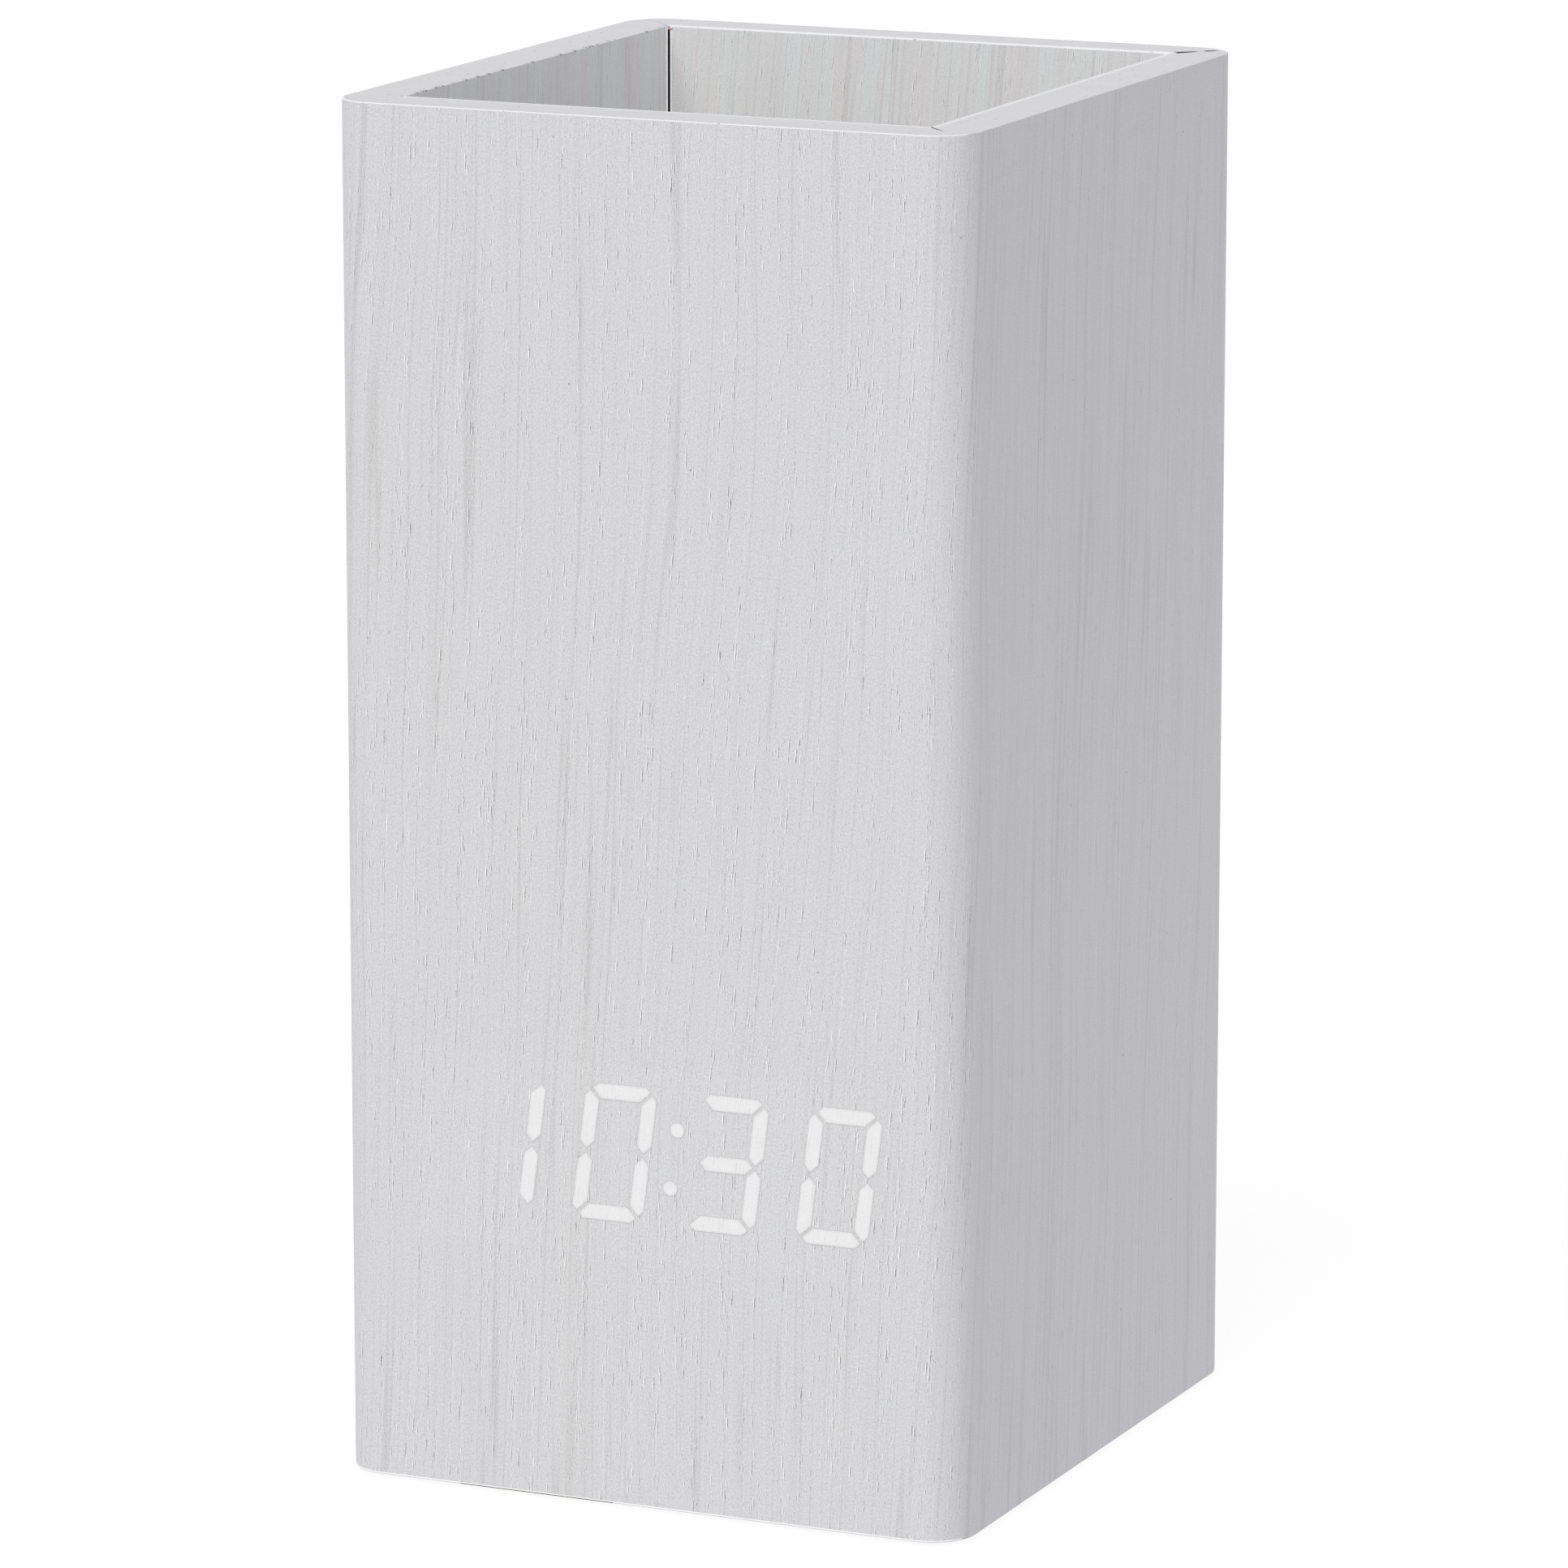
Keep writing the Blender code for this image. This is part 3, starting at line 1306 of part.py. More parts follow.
def make_board_screws():
    for number, (x, z) in enumerate(board_screw_places(), 1):
        make_screw(f"board_screw_{number}", (x, BOARD_FRONT - FIT, z), TURNED_BACK, BOARD_SCREW_LENGTH)


def make_buzzer():
    top = BUZZER_HEIGHT
    mouth_floor = top - BUZZER_MOUTH_DEPTH
    profile = [
        (0.0, mouth_floor),
        (BUZZER_MOUTH_RADIUS, mouth_floor),
        (BUZZER_MOUTH_RADIUS, top),
        (BUZZER_RADIUS - BUZZER_EDGE, top),
        (BUZZER_RADIUS, top - BUZZER_EDGE),
        (BUZZER_RADIUS, 0.0),
        (0.0, 0.0),
    ]
    at = (COLUMN_X, BOARD_FRONT - FIT, OPENING_Z + BUZZER_Z)
    turned("alarm_buzzer", profile, at, TURNED_FRONT, "black_plastic")


def make_backup_cell():
    """The coin cell that keeps the time, in its round holder with a notch to lift it out."""
    foot = BOARD_FRONT - FIT
    z = OPENING_Z + COIN_Z
    inner = COIN_RADIUS + FIT
    outer = HOLDER_RADIUS
    height = HOLDER_FLOOR + FIT + COIN_THICKNESS
    profile = [
        (0.0, HOLDER_FLOOR),
        (inner, HOLDER_FLOOR),
        (inner, height),
        (outer, height),
        (outer, 0.0),
        (0.0, 0.0),
    ]
    holder_at = (HOLDER_X, foot, z)
    holder = turned(
        "backup_cell_holder", profile, holder_at, TURNED_FRONT, "black_plastic", 2 * ROUND_STEPS
    )
    notch = block(
        "holder_notch",
        (HOLDER_X - HOLDER_NOTCH / 2, foot - height - OVERRUN, z),
        (HOLDER_X + HOLDER_NOTCH / 2, foot - HOLDER_FLOOR, z + outer + OVERRUN),
    )
    cut(holder, notch)
    coin = [
        (0.0, COIN_THICKNESS),
        (COIN_RADIUS - 3 * COIN_EDGE, COIN_THICKNESS),
        (COIN_RADIUS, COIN_THICKNESS - COIN_EDGE),
        (COIN_RADIUS, COIN_EDGE),
        (COIN_RADIUS - COIN_EDGE, 0.0),
        (0.0, 0.0),
    ]
    at = (HOLDER_X, foot - HOLDER_FLOOR - FIT, z)
    turned("backup_cell", coin, at, TURNED_FRONT, "nickel", 2 * ROUND_STEPS)


def make_clock_chip():
    back = BOARD_FRONT - FIT
    z = OPENING_Z + CHIP_Z
    chip = block(
        "clock_chip",
        (COLUMN_X - CHIP_LENGTH / 2, back - CHIP_STAND - CHIP_THICKNESS, z - CHIP_WIDTH / 2),
        (COLUMN_X + CHIP_LENGTH / 2, back - CHIP_STAND, z + CHIP_WIDTH / 2),
        "black_plastic",
    )
    legs = []
    for number in range(CHIP_LEGS):
        x = COLUMN_X + (number - (CHIP_LEGS - 1) / 2) * CHIP_LEG_PITCH
        for side in (-1, 1):
            legs += chip_leg(x, back, z, side)
    join(chip, merged("chip_legs", legs[0::2]), merged("chip_feet", legs[1::2]))


def chip_leg(x, back, z, side):
    """A leg's level shoulder out of the chip, and its foot down to the board."""
    shoulder_y = back - CHIP_STAND - CHIP_THICKNESS / 2
    edge = z + side * CHIP_WIDTH / 2
    tip = edge + side * CHIP_LEG_REACH
    thick = CHIP_LEG_THICKNESS
    shoulder = block(
        "leg",
        (x - CHIP_LEG_WIDTH / 2, shoulder_y - thick, min(edge - side * thick, tip)),
        (x + CHIP_LEG_WIDTH / 2, shoulder_y, max(edge - side * thick, tip)),
    )
    foot = block(
        "foot",
        (x - CHIP_LEG_WIDTH / 2, shoulder_y - thick / 2, min(tip - side * thick, tip)),
        (x + CHIP_LEG_WIDTH / 2, back, max(tip - side * thick, tip)),
    )
    return [shoulder, foot]


def make_crystal():
    profile = [
        (0.0, CRYSTAL_LENGTH),
        (CRYSTAL_RADIUS - CRYSTAL_EDGE, CRYSTAL_LENGTH),
        (CRYSTAL_RADIUS, CRYSTAL_LENGTH - CRYSTAL_EDGE),
        (CRYSTAL_RADIUS, CRYSTAL_EDGE),
        (CRYSTAL_RADIUS - CRYSTAL_EDGE, 0.0),
        (0.0, 0.0),
    ]
    at = (COLUMN_X - CRYSTAL_LENGTH / 2, BOARD_FRONT - FIT - CRYSTAL_RADIUS, OPENING_Z + CRYSTAL_Z)
    turned("timing_crystal", profile, at, TURNED_RIGHT, "nickel", SMALL_ROUND_STEPS)


# Wiring


def make_ribbon():
    """A flat cable that sags a little between the two headers."""
    start = (0, DISPLAY_BOARD_BACK + HEADER_DEPTH + FIT, DISPLAY_HEADER_Z)
    end = (0, BOARD_FRONT - HEADER_DEPTH - FIT, HEADER_Z)
    path = smooth_path(start, (0, RIBBON_SLACK, 0), end, (0, -RIBBON_SLACK, 0), RIBBON_STEPS)
    origin = path[0]
    above, below = [], []
    for number, place in enumerate(path):
        ahead = path[min(number + 1, RIBBON_STEPS)] - path[max(number - 1, 0)]
        across = Vector((0, -ahead.z, ahead.y)).normalized() * RIBBON_THICKNESS / 2
        if number in (0, RIBBON_STEPS):
            across = Vector((0, 0, RIBBON_THICKNESS / 2))
        above.append(place + across - origin)
        below.append(place - across - origin)
    outline = [(place.y, place.z) for place in above + below[::-1]]
    flat_outline("ribbon_cable", [outline], RIBBON_WIDTH, origin, ALONG_X, "grey_ribbon")


def make_battery_leads():
    """Wires from the two terminal plates to the board, each in one easy loop."""
    top = TRAY_TOP + CONTACT_TAB_RISE
    for (x, y), name, look in zip(
        tab_places(), ("battery_lead_red", "battery_lead_black"), ("red_lead", "black_lead")
    ):
        side = math.copysign(1, x)
        end = (side * (BOARD_X - LEAD_PAD_INSET), BOARD_FRONT - FIT, OPENING_Z + LEAD_PAD_Z)
        path = smooth_path((x, y, top + FIT), (0, 0, LEAD_LOOP), end, (0, -LEAD_LOOP, 0), LEAD_STEPS)
        tube(name, path, LEAD_RADIUS, look)


def build():
    clear_scene()
    opening = rear_opening()
    panel_screw_holes = bezel_screw_holes()
    display_holes = display_screw_holes()
    make_case(opening, panel_screw_holes, display_holes)
    make_film(opening)
    make_cup_floor()
    seats, holes = base_screw_seats()
    make_base_plate(seats, holes)
    make_battery_door()
    make_cleats(holes)
    make_base_screws()
    make_feet()
    make_cells()
    make_springs()
    make_contacts()
    make_display()
    make_display_board(display_holes)
    make_display_screws()
    make_control_panel(panel_screw_holes)
    make_panel_screws()
    make_buttons()
    make_power_inlet()
    make_main_board()
    make_board_screws()
    make_buzzer()
    make_backup_cell()
    make_clock_chip()
    make_crystal()
    make_ribbon()
    make_battery_leads()
    shade_pieces()


build()
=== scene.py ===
import math

import bmesh
import bpy
from mathutils import Matrix, Vector


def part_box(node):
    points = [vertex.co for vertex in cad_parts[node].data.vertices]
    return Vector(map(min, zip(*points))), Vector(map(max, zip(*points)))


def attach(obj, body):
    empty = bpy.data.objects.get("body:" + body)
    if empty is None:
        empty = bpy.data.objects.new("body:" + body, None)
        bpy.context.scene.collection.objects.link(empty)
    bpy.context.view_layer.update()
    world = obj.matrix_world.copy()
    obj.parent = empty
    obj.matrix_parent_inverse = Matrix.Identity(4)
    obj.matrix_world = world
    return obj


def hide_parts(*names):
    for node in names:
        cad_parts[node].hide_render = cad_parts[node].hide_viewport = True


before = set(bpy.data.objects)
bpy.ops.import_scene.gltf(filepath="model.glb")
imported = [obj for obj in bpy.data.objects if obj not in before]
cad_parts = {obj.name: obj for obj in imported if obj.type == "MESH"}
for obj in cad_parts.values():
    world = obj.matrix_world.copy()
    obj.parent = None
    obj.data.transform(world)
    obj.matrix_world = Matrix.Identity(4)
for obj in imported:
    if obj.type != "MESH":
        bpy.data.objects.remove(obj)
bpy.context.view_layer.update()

MM = 0.001

# Case, in metres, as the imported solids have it, with two changes: film and boards are thicker, so that
# they meet, and front and back lie 0.02 mm further in, so that the lit plates end where the solids do
HALF_X, HALF_Y = 35.0 * MM, 37.98 * MM
BOTTOM, TOP = 0.4 * MM, 144.4 * MM
CORNER = 4.8 * MM
SKIN, WALL = 0.45 * MM, 6.0 * MM
INNER_X, INNER_Y = 29.0 * MM, 32.0 * MM
SEAM_X, SEAM = -30.2 * MM, 0.12 * MM
# From where to where along x the lower front edge carries a dark painted shadow line
SHADOW_LINE_X = (-21.0 * MM, -3.5 * MM)
OPENING_X, OPENING_Z, OPENING_HALF = 22.0 * MM, 35.0 * MM, 11.0 * MM
DISPLAY_X, DISPLAY_Z = 3.1 * MM, 37.75 * MM

# From where to where round the unrolled film, in mm, its front runs: there its edges carry painted
# highlights, elsewhere worn paint
FRONT_FROM, FRONT_TO = 70.0, 147.0

# Light
BACKDROP, FILL, KEY = 1.0, 0.512, 1.44

# Wood: how fine its fibres and its tooth are across and along the grain, per mm; its pores' cells in mm
FIBRE, TOOTH = (5.6, 0.34), (7.5, 4.5)
LONG_PORE, SHORT_PORE = (0.27, 4.6), (0.18, 2.1)
WASHED, WASHED_WARM = (0.886, 0.908, 0.905), (0.862, 0.838, 0.832)
LIT_FILM = (0.785, 0.785, 0.775)

# The display's window on the unrolled film, in mm: left, right, low, high; how much paler; its soft edge
WINDOW, WINDOW_LIFT, WINDOW_SOFT = (86.4, 136.8, 26.7, 47.1), 0.018, 0.4


# Materials


def put(tree, socket, value):
    if isinstance(value, bpy.types.NodeSocket):
        tree.links.new(value, socket)
    else:
        socket.default_value = value


def add_node(tree, kind, inputs=(), **settings):
    """The outputs of a new shader node, whose inputs are linked or set by number or name."""
    node = tree.nodes.new("ShaderNode" + kind)
    for name, value in settings.items():
        setattr(node, name, value)
    for socket, value in dict(inputs).items():
        put(tree, node.inputs[socket], value)
    return node.outputs


class Look:
    """A material and the few node shorthands that the finishes below are made with."""

    def __init__(self, name, colour, roughness=0.5, metallic=0.0, **constants):
        self.material = bpy.data.materials.new(name)
        self.material.use_nodes = True
        self.tree = self.material.node_tree
        self.shader = self.tree.nodes["Principled BSDF"]
        constants.update(Base_Color=(*colour, 1.0), Roughness=roughness, Metallic=metallic)
        for socket, value in constants.items():
            self.shader.inputs[socket.replace("_", " ")].default_value = value

    def math(self, operation, *values, clamp=False):
        return add_node(self.tree, "Math", enumerate(values), operation=operation, use_clamp=clamp)[0]

    def add(self, a, b):
        return self.math("ADD", a, b)

    def times(self, a, b):
        return self.math("MULTIPLY", a, b)

    def more(self, a, b, c):
        """a times b, plus c"""
        return self.math("MULTIPLY_ADD", a, b, c)

    def smooth(self, value, low, high, start=0.0, end=1.0):
        """start below low, end above high, and a smooth step between them"""
        numbers = enumerate((value, low, high, start, end))
        return add_node(self.tree, "MapRange", numbers, interpolation_type="SMOOTHSTEP")[0]

    def vector(self, x, y, z=0.0):
        return add_node(self.tree, "CombineXYZ", enumerate((x, y, z)))[0]

    def places(self, source="object"):
        """x, y and z in millimetres: on the unrolled surface, or in the object's own frame"""
        if source == "unrolled":
            place, scale = add_node(self.tree, "UVMap", uv_map="Grain")[0], 1.0
        else:
            place, scale = add_node(self.tree, "TexCoord")["Object"], 1000.0
        return [self.times(axis, scale) for axis in add_node(self.tree, "SeparateXYZ", {0: place})]

    def noise(self, place, detail, roughness=0.5, flat=False):
        inputs = {"Scale": 1.0, "Detail": detail, "Roughness": roughness, "Vector": place}
        return add_node(self.tree, "TexNoise", inputs, noise_dimensions="2D" if flat else "3D")[0]

    def grain(self, places, scales, detail=2.0, roughness=0.5, flat=False):
        """noise with its own scale along each axis"""
        scaled = [self.times(place, scale) for place, scale in zip(places, scales)]
        return self.noise(self.vector(*scaled), detail, roughness, flat)

    def cells(self, place):
        """distance to the nearest scattered point, and a number of that point's own"""
        inputs = {"Scale": 1.0, "Vector": place}
        outputs = add_node(self.tree, "TexVoronoi", inputs, voronoi_dimensions="2D")
        return outputs["Distance"], add_node(self.tree, "SeparateColor", {0: outputs["Color"]})[0]

    def spots(self, place, rare, sizes, soft, amount=None):
        """1 in round spots, one to a cell: past the rare share, their size grows with chance."""
        distance, chance = self.cells(place)
        size = self.smooth(chance, rare, 1.0, *sizes)
        if amount is not None:
            size = self.times(size, amount)
        return self.smooth(self.math("SUBTRACT", distance, size), *soft, 1.0, 0.0)

    def mix(self, share, a, b):
        colours = [(*value, 1.0) if isinstance(value, tuple) else value for value in (a, b)]
        inputs = {"Factor": share, 6: colours[0], 7: colours[1]}
        return add_node(self.tree, "Mix", inputs, data_type="RGBA")[2]

    def tint(self, colour, tone):
        """a colour made lighter or darker by a number near 1"""
        return add_node(self.tree, "VectorMath", {0: colour, "Scale": tone}, operation="SCALE")[0]

    def made(self, colour, roughness, height, depth, strength=1.0):
        """The material, once its colour, its roughness and its relief of a depth in mm are set"""
        inputs = {"Distance": depth * MM, "Strength": strength, "Height": height}
        relief = add_node(self.tree, "Bump", inputs)[0]
        for socket, value in (("Base Color", colour), ("Roughness", roughness), ("Normal", relief)):
            put(self.tree, self.shader.inputs[socket], value)
        return self.material


def dashes(look, across, along, width, length, amount, shift):
    """Short strokes scattered one to a cell of width by length, their size by chance and by amount."""
    place = look.vector(look.more(across, 1 / width, shift), look.times(along, 1 / length))
    return look.spots(place, 0.2, (-0.03, 0.17), (-0.05, 0.02), amount)


def straightened(look, across, along, lean, seed):
    """Distance across the grain, which leans and bends a little."""
    place = look.vector(look.more(across, 0.02, seed), look.times(along, 0.014))
    drift = look.noise(place, 1.0, flat=True)
    return look.add(look.more(along, -lean, across), look.times(drift, 4.5))


def wood_print(
    name, colour, warm, pores, warmth, seed, source="unrolled", lean=0.045, long=1.0, fuzz=1.0,
    calm=None, window=None,
):
    """White-washed wood: fine pores strung in streaks, pale lips beside them, soft bands and specks.

    calm says from where round the case the fine print is fainter, and how much of it is left there.
    window is where the display behind the film makes it paler.
    """
    look = Look(name, colour)
    across, along, _ = look.places(source)
    straight = straightened(look, across, along, lean, seed)

    def strips(wide, tall, detail, rough=0.5, shift=0.0):
        place = look.vector(look.more(straight, wide, seed + shift), look.times(along, tall))
        return look.noise(place, detail, rough, flat=True)

    chain = look.smooth(strips(1.15, 0.022, 2.0), 0.47, 0.62)
    amount = look.more(chain, 0.75, 0.45)
    broken = look.grain((across, along), (2.0, 3.0), 1.0, flat=True)
    broken = look.smooth(broken, 0.36, 0.56, 0.45, 1.0)
    long_ones = dashes(look, straight, along, *LONG_PORE, amount, seed)
    short_ones = dashes(look, straight, along, *SHORT_PORE, look.more(chain, 0.6, 0.6), seed + 7.7)
    dark = look.times(look.math("MAXIMUM", long_ones, look.times(short_ones, 0.85)), broken)
    long_ones = dashes(look, look.add(straight, 0.10), along, *LONG_PORE, amount, seed)
    short_ones = dashes(look, look.add(straight, 0.08), along, *SHORT_PORE, amount, seed + 7.7)
    pale = look.times(look.math("MAXIMUM", long_ones, short_ones), broken)
    fibre = strips(*FIBRE, 3.0, 0.7)
    threads = strips(6.6, 0.04, 2.0, 0.6, 2.2)
    hairs = strips(2.3, 0.035, 2.0, 0.6, 3.3)
    band = strips(0.16, 0.006, 3.0, 0.6, 9.1)
    middle = strips(0.8, 0.02, 2.0, 0.5, 1.7)
    growth = look.math("ABSOLUTE", look.add(strips(0.30, 0.004, 1.5, 0.5, 5.3), -0.5))
    fading = look.smooth(strips(0.9, 0.03, 1.0), 0.38, 0.58, 0.3, 1.0)
    lines = look.times(look.smooth(growth, 0.0, 0.025, 1.0, 0.0), fading)
    tooth = look.grain((across, along), TOOTH, 1.0, flat=True)
    place = look.vector(look.more(across, 0.07, seed), look.times(along, 0.07))
    speck = look.spots(place, 0.35, (0.0, 0.011), (-0.006, 0.002))
    fine = look.times(dark, -pores)
    fine = look.more(look.math("SUBTRACT", pale, dark, clamp=True), pores * 0.8, fine)
    fine = look.more(look.add(fibre, -0.5), look.more(chain, 0.22 * fuzz, 0.06 * fuzz), fine)
    fine = look.more(look.add(threads, -0.5), look.more(chain, 0.16 * fuzz, 0.06 * fuzz), fine)
    fine = look.more(look.add(tooth, -0.5), 0.42 * fuzz, fine)
    coarse = look.times(look.smooth(hairs, 0.57, 0.70), -0.045 * long)
    coarse = look.more(look.smooth(hairs, 0.5, 0.34), 0.01 * long, coarse)
    coarse = look.more(lines, -0.08, coarse)
    coarse = look.more(look.add(band, -0.5), 0.06, coarse)
    coarse = look.more(look.add(middle, -0.5), 0.03 * long, coarse)
    if calm:
        start, left = calm
        fine = look.times(fine, look.smooth(across, start, start + 8.0, 1.0, left))
    tone = look.add(look.add(fine, coarse), 1.0)
    tone = look.more(speck, -0.35, tone)
    if window:
        inside = 1.0
        for place, low, high in ((across, *window[:2]), (along, *window[2:])):
            for edge, start, end in ((low, 0.0, 1.0), (high, 1.0, 0.0)):
                part = look.smooth(place, edge - WINDOW_SOFT, edge + WINDOW_SOFT, start, end)
                inside = look.times(part, inside)
        tone = look.more(inside, WINDOW_LIFT, tone)
    share = look.times(look.smooth(look.add(band, look.times(middle, 0.6)), 0.66, 0.98), warmth)
    share = look.math("ADD", share, look.times(lines, 0.6), clamp=True)
    face = look.tint(look.mix(share, colour, warm), tone)
    relief = look.more(dark, -1.0, look.times(fibre, 0.5))
    return look.made(face, look.more(fibre, 0.14, 0.43), relief, 0.02, 0.6)


def rim_paint(name, colour, roughness, close=0.55, largest=0.09, dirt=0.42, **constants):
    """Sprayed paint over the board's edge: a faint orange peel, dust specks and soft stains."""
    look = Look(name, colour, roughness, **constants)
    places = look.places()
    peel = look.grain(places, [2.2] * 3)
    stain = look.grain(places, [0.25] * 3, 3.0)
    place = look.vector(*(look.times(axis, close) for axis in places[:2]))
    dust = look.spots(place, 0.3, (-0.02, largest), (-0.02, 0.01))
    tone = look.more(look.add(peel, -0.5), 0.10, 1.0)
    tone = look.more(look.add(stain, -0.5), 0.09, tone)
    tone = look.more(dust, -dirt, tone)
    stained = tuple(c * k for c, k in zip(colour, (1.0, 0.99, 1.01)))
    face = look.tint(look.mix(stain, colour, stained), tone)
    return look.made(face, look.more(peel, 0.12, roughness - 0.06), peel, 0.02, 0.5)


def speckled(name, colour, roughness, grain, depth, vary, **constants):
    """A moulded or rubbery surface: grain per mm, the relief's depth in mm, and the change in tone."""
    look = Look(name, colour, roughness, **constants)
    places = look.places()
    fine = look.grain(places, [grain] * 3)
    slow = look.grain(places, [0.2] * 3)
    tone = look.more(look.add(slow, -0.5), vary * 2, look.more(look.add(fine, -0.5), vary, 1.0))
    other = tuple(min(1.0, c * k) for c, k in zip(colour, (1.03, 1.0, 0.96)))
    face = look.tint(look.mix(slow, colour, other), tone)
    return look.made(face, look.more(fine, 0.16, roughness - 0.08), fine, depth, 0.6)


def fibreboard(name):
    """The raw edge of fibreboard: pressed brown fibres in two sizes."""
    look = Look(name, (0.46, 0.33, 0.21))
    places = look.places()
    coarse = look.grain(places, (1.6, 1.6, 5.0), 3.0, 0.7)
    fine = look.grain(places, [7.0] * 3)
    share = look.smooth(look.more(fine, 0.5, look.times(coarse, 0.8)), 0.45, 0.9)
    face = look.mix(share, (0.34, 0.23, 0.14), (0.60, 0.46, 0.31))
    return look.made(face, 0.9, look.add(coarse, fine), 0.08)


def batten_wood(name):
    """Sawn softwood along x: growth lines, saw marks across them and a rough surface."""
    look = Look(name, (0.72, 0.55, 0.36), 0.8)
    x, y, z = look.places()
    drift = look.grain((x, y, z), (0.05, 0.3, 0.3))
    squares = [look.math("POWER", value, 2.0) for value in (look.add(y, 6.0), z)]
    radius = look.math("SQRT", look.add(*squares))
    rings = look.math("SINE", look.add(look.times(radius, 4.2), look.times(drift, 9.0)))
    fibre = look.grain((x, y, z), (0.4, 6.0, 6.0), 3.0)
    saw = look.math("SINE", look.add(look.times(x, 7.0), look.times(drift, 4.0)))
    share = look.smooth(look.add(look.times(rings, 0.4), fibre), 0.1, 1.1)
    face = look.mix(share, (0.62, 0.44, 0.26), (0.80, 0.65, 0.46))
    relief = look.add(fibre, look.times(saw, 0.25))
    return look.made(face, look.more(fibre, 0.2, 0.7), relief, 0.12)


def circuit(name, lights_below=None):
    """Green solder mask over copper tracks, with tinned pads; lights in front of the board stay pale."""
    look = Look(name, (0.02, 0.18, 0.08), 0.35)
    x, y, z = look.places()
    bend = look.grain((x, z), (0.12, 0.12), 1.0, flat=True)
    wave = look.add(look.times(z, 2.4), look.times(bend, 14.0))
    tracks = look.smooth(look.math("ABSOLUTE", look.math("SINE", wave)), 0.75, 0.82)
    cell, chance = look.cells(look.vector(look.times(x, 0.42), look.times(z, 0.42)))
    pad = look.smooth(cell, 0.16, 0.19, 1.0, 0.0)
    pad = look.times(pad, look.smooth(chance, 0.55, 0.57))
    ring = look.times(look.smooth(cell, 0.09, 0.11), pad)
    fine = look.grain((x, y, z), [3.0] * 3)
    mask = look.mix(tracks, (0.015, 0.15, 0.06), (0.03, 0.27, 0.11))
    face = look.mix(ring, mask, (0.72, 0.70, 0.66))
    if lights_below is not None:
        lit = look.smooth(y, lights_below - 0.02, lights_below + 0.02, 1.0, 0.0)
        face = look.mix(lit, face, (0.86, 0.82, 0.62))
    face = look.tint(face, look.more(fine, 0.12, 0.94))
    relief = look.add(look.times(tracks, 0.6), look.add(ring, look.times(fine, 0.2)))
    return look.made(face, look.more(fine, 0.2, 0.28), relief, 0.03)


def brushed(name, colour, roughness, axis):
    """Drawn or plated metal with fine scratches along one axis and a few dull patches."""
    look = Look(name, colour, roughness, 1.0)
    places = look.places()
    scratch = look.grain(places, [0.5 if number == axis else 9.0 for number in range(3)], 3.0, 0.6)
    patch = look.grain(places, [0.6] * 3)
    dull = tuple(c * 0.93 for c in colour)
    face = look.tint(look.mix(patch, colour, dull), look.more(scratch, 0.1, 0.95))
    gloss = look.more(patch, 0.14, look.more(scratch, 0.14, roughness - 0.12))
    return look.made(face, gloss, scratch, 0.006, 0.5)


def ribbed_ribbon(name):
    """Flat cable: rounded cores side by side, one of them marked."""
    look = Look(name, (0.5, 0.5, 0.52), 0.5)
    x, y, z = look.places()
    core = look.math("ABSOLUTE", look.math("SINE", look.times(x, math.pi / 1.27)))
    fine = look.grain((x, y, z), (4.0, 0.8, 4.0))
    marked = look.smooth(x, -4.55, -4.4, 1.0, 0.0)
    face = look.mix(marked, (0.50, 0.50, 0.53), (0.55, 0.08, 0.06))
    face = look.tint(face, look.add(look.times(core, 0.18), look.more(fine, 0.08, 0.8)))
    return look.made(face, look.more(fine, 0.1, 0.42), core, 0.25)


def cell_jacket(name, colour, band, low, high):
    """A cell's printed sleeve: a plain colour with a pale band near one end and slight wrinkles."""
    look = Look(name, colour, 0.3, 0.3)
    x, y, z = look.places()
    reach = look.math("ABSOLUTE", x)
    short_of_end = look.smooth(reach, high, high + 0.1, 1.0, 0.0)
    share = look.times(look.smooth(reach, low, low + 0.1), short_of_end)
    fine = look.grain((x, y, z), [2.0] * 3, 3.0)
    crease = look.grain((x, y, z), (0.25, 1.2, 1.2))
    face = look.tint(look.mix(share, colour, band), look.more(fine, 0.16, 0.92))
    relief = look.add(crease, look.times(fine, 0.2))
    return look.made(face, look.more(crease, 0.2, 0.22), relief, 0.05, 0.5)


def lit(name, glow, shade=1.0):
    """The film where a segment shines through it: the same fibres and pores over even light."""
    look = Look(name, LIT_FILM, 0.5, Emission_Color=(1.0, 1.0, 0.965, 1.0), Emission_Strength=glow)
    x, _, z = look.places()
    straight = straightened(look, x, z, 0.045, 3.1)
    fibre = look.grain((straight, z), FIBRE, 3.0, 0.7, flat=True)
    pores = dashes(look, straight, z, 0.4, 7.0, 0.9, 3.1)
    tooth = look.grain((x, z), TOOTH, 1.0, flat=True)
    tone = look.more(look.add(fibre, -0.5), 0.2, look.more(pores, -0.12, shade))
    tone = look.more(look.add(tooth, -0.5), 0.24, tone)
    relief = look.more(pores, -1.0, look.times(fibre, 0.5))
    return look.made(look.tint(LIT_FILM, tone), 0.5, relief, 0.02, 0.5)


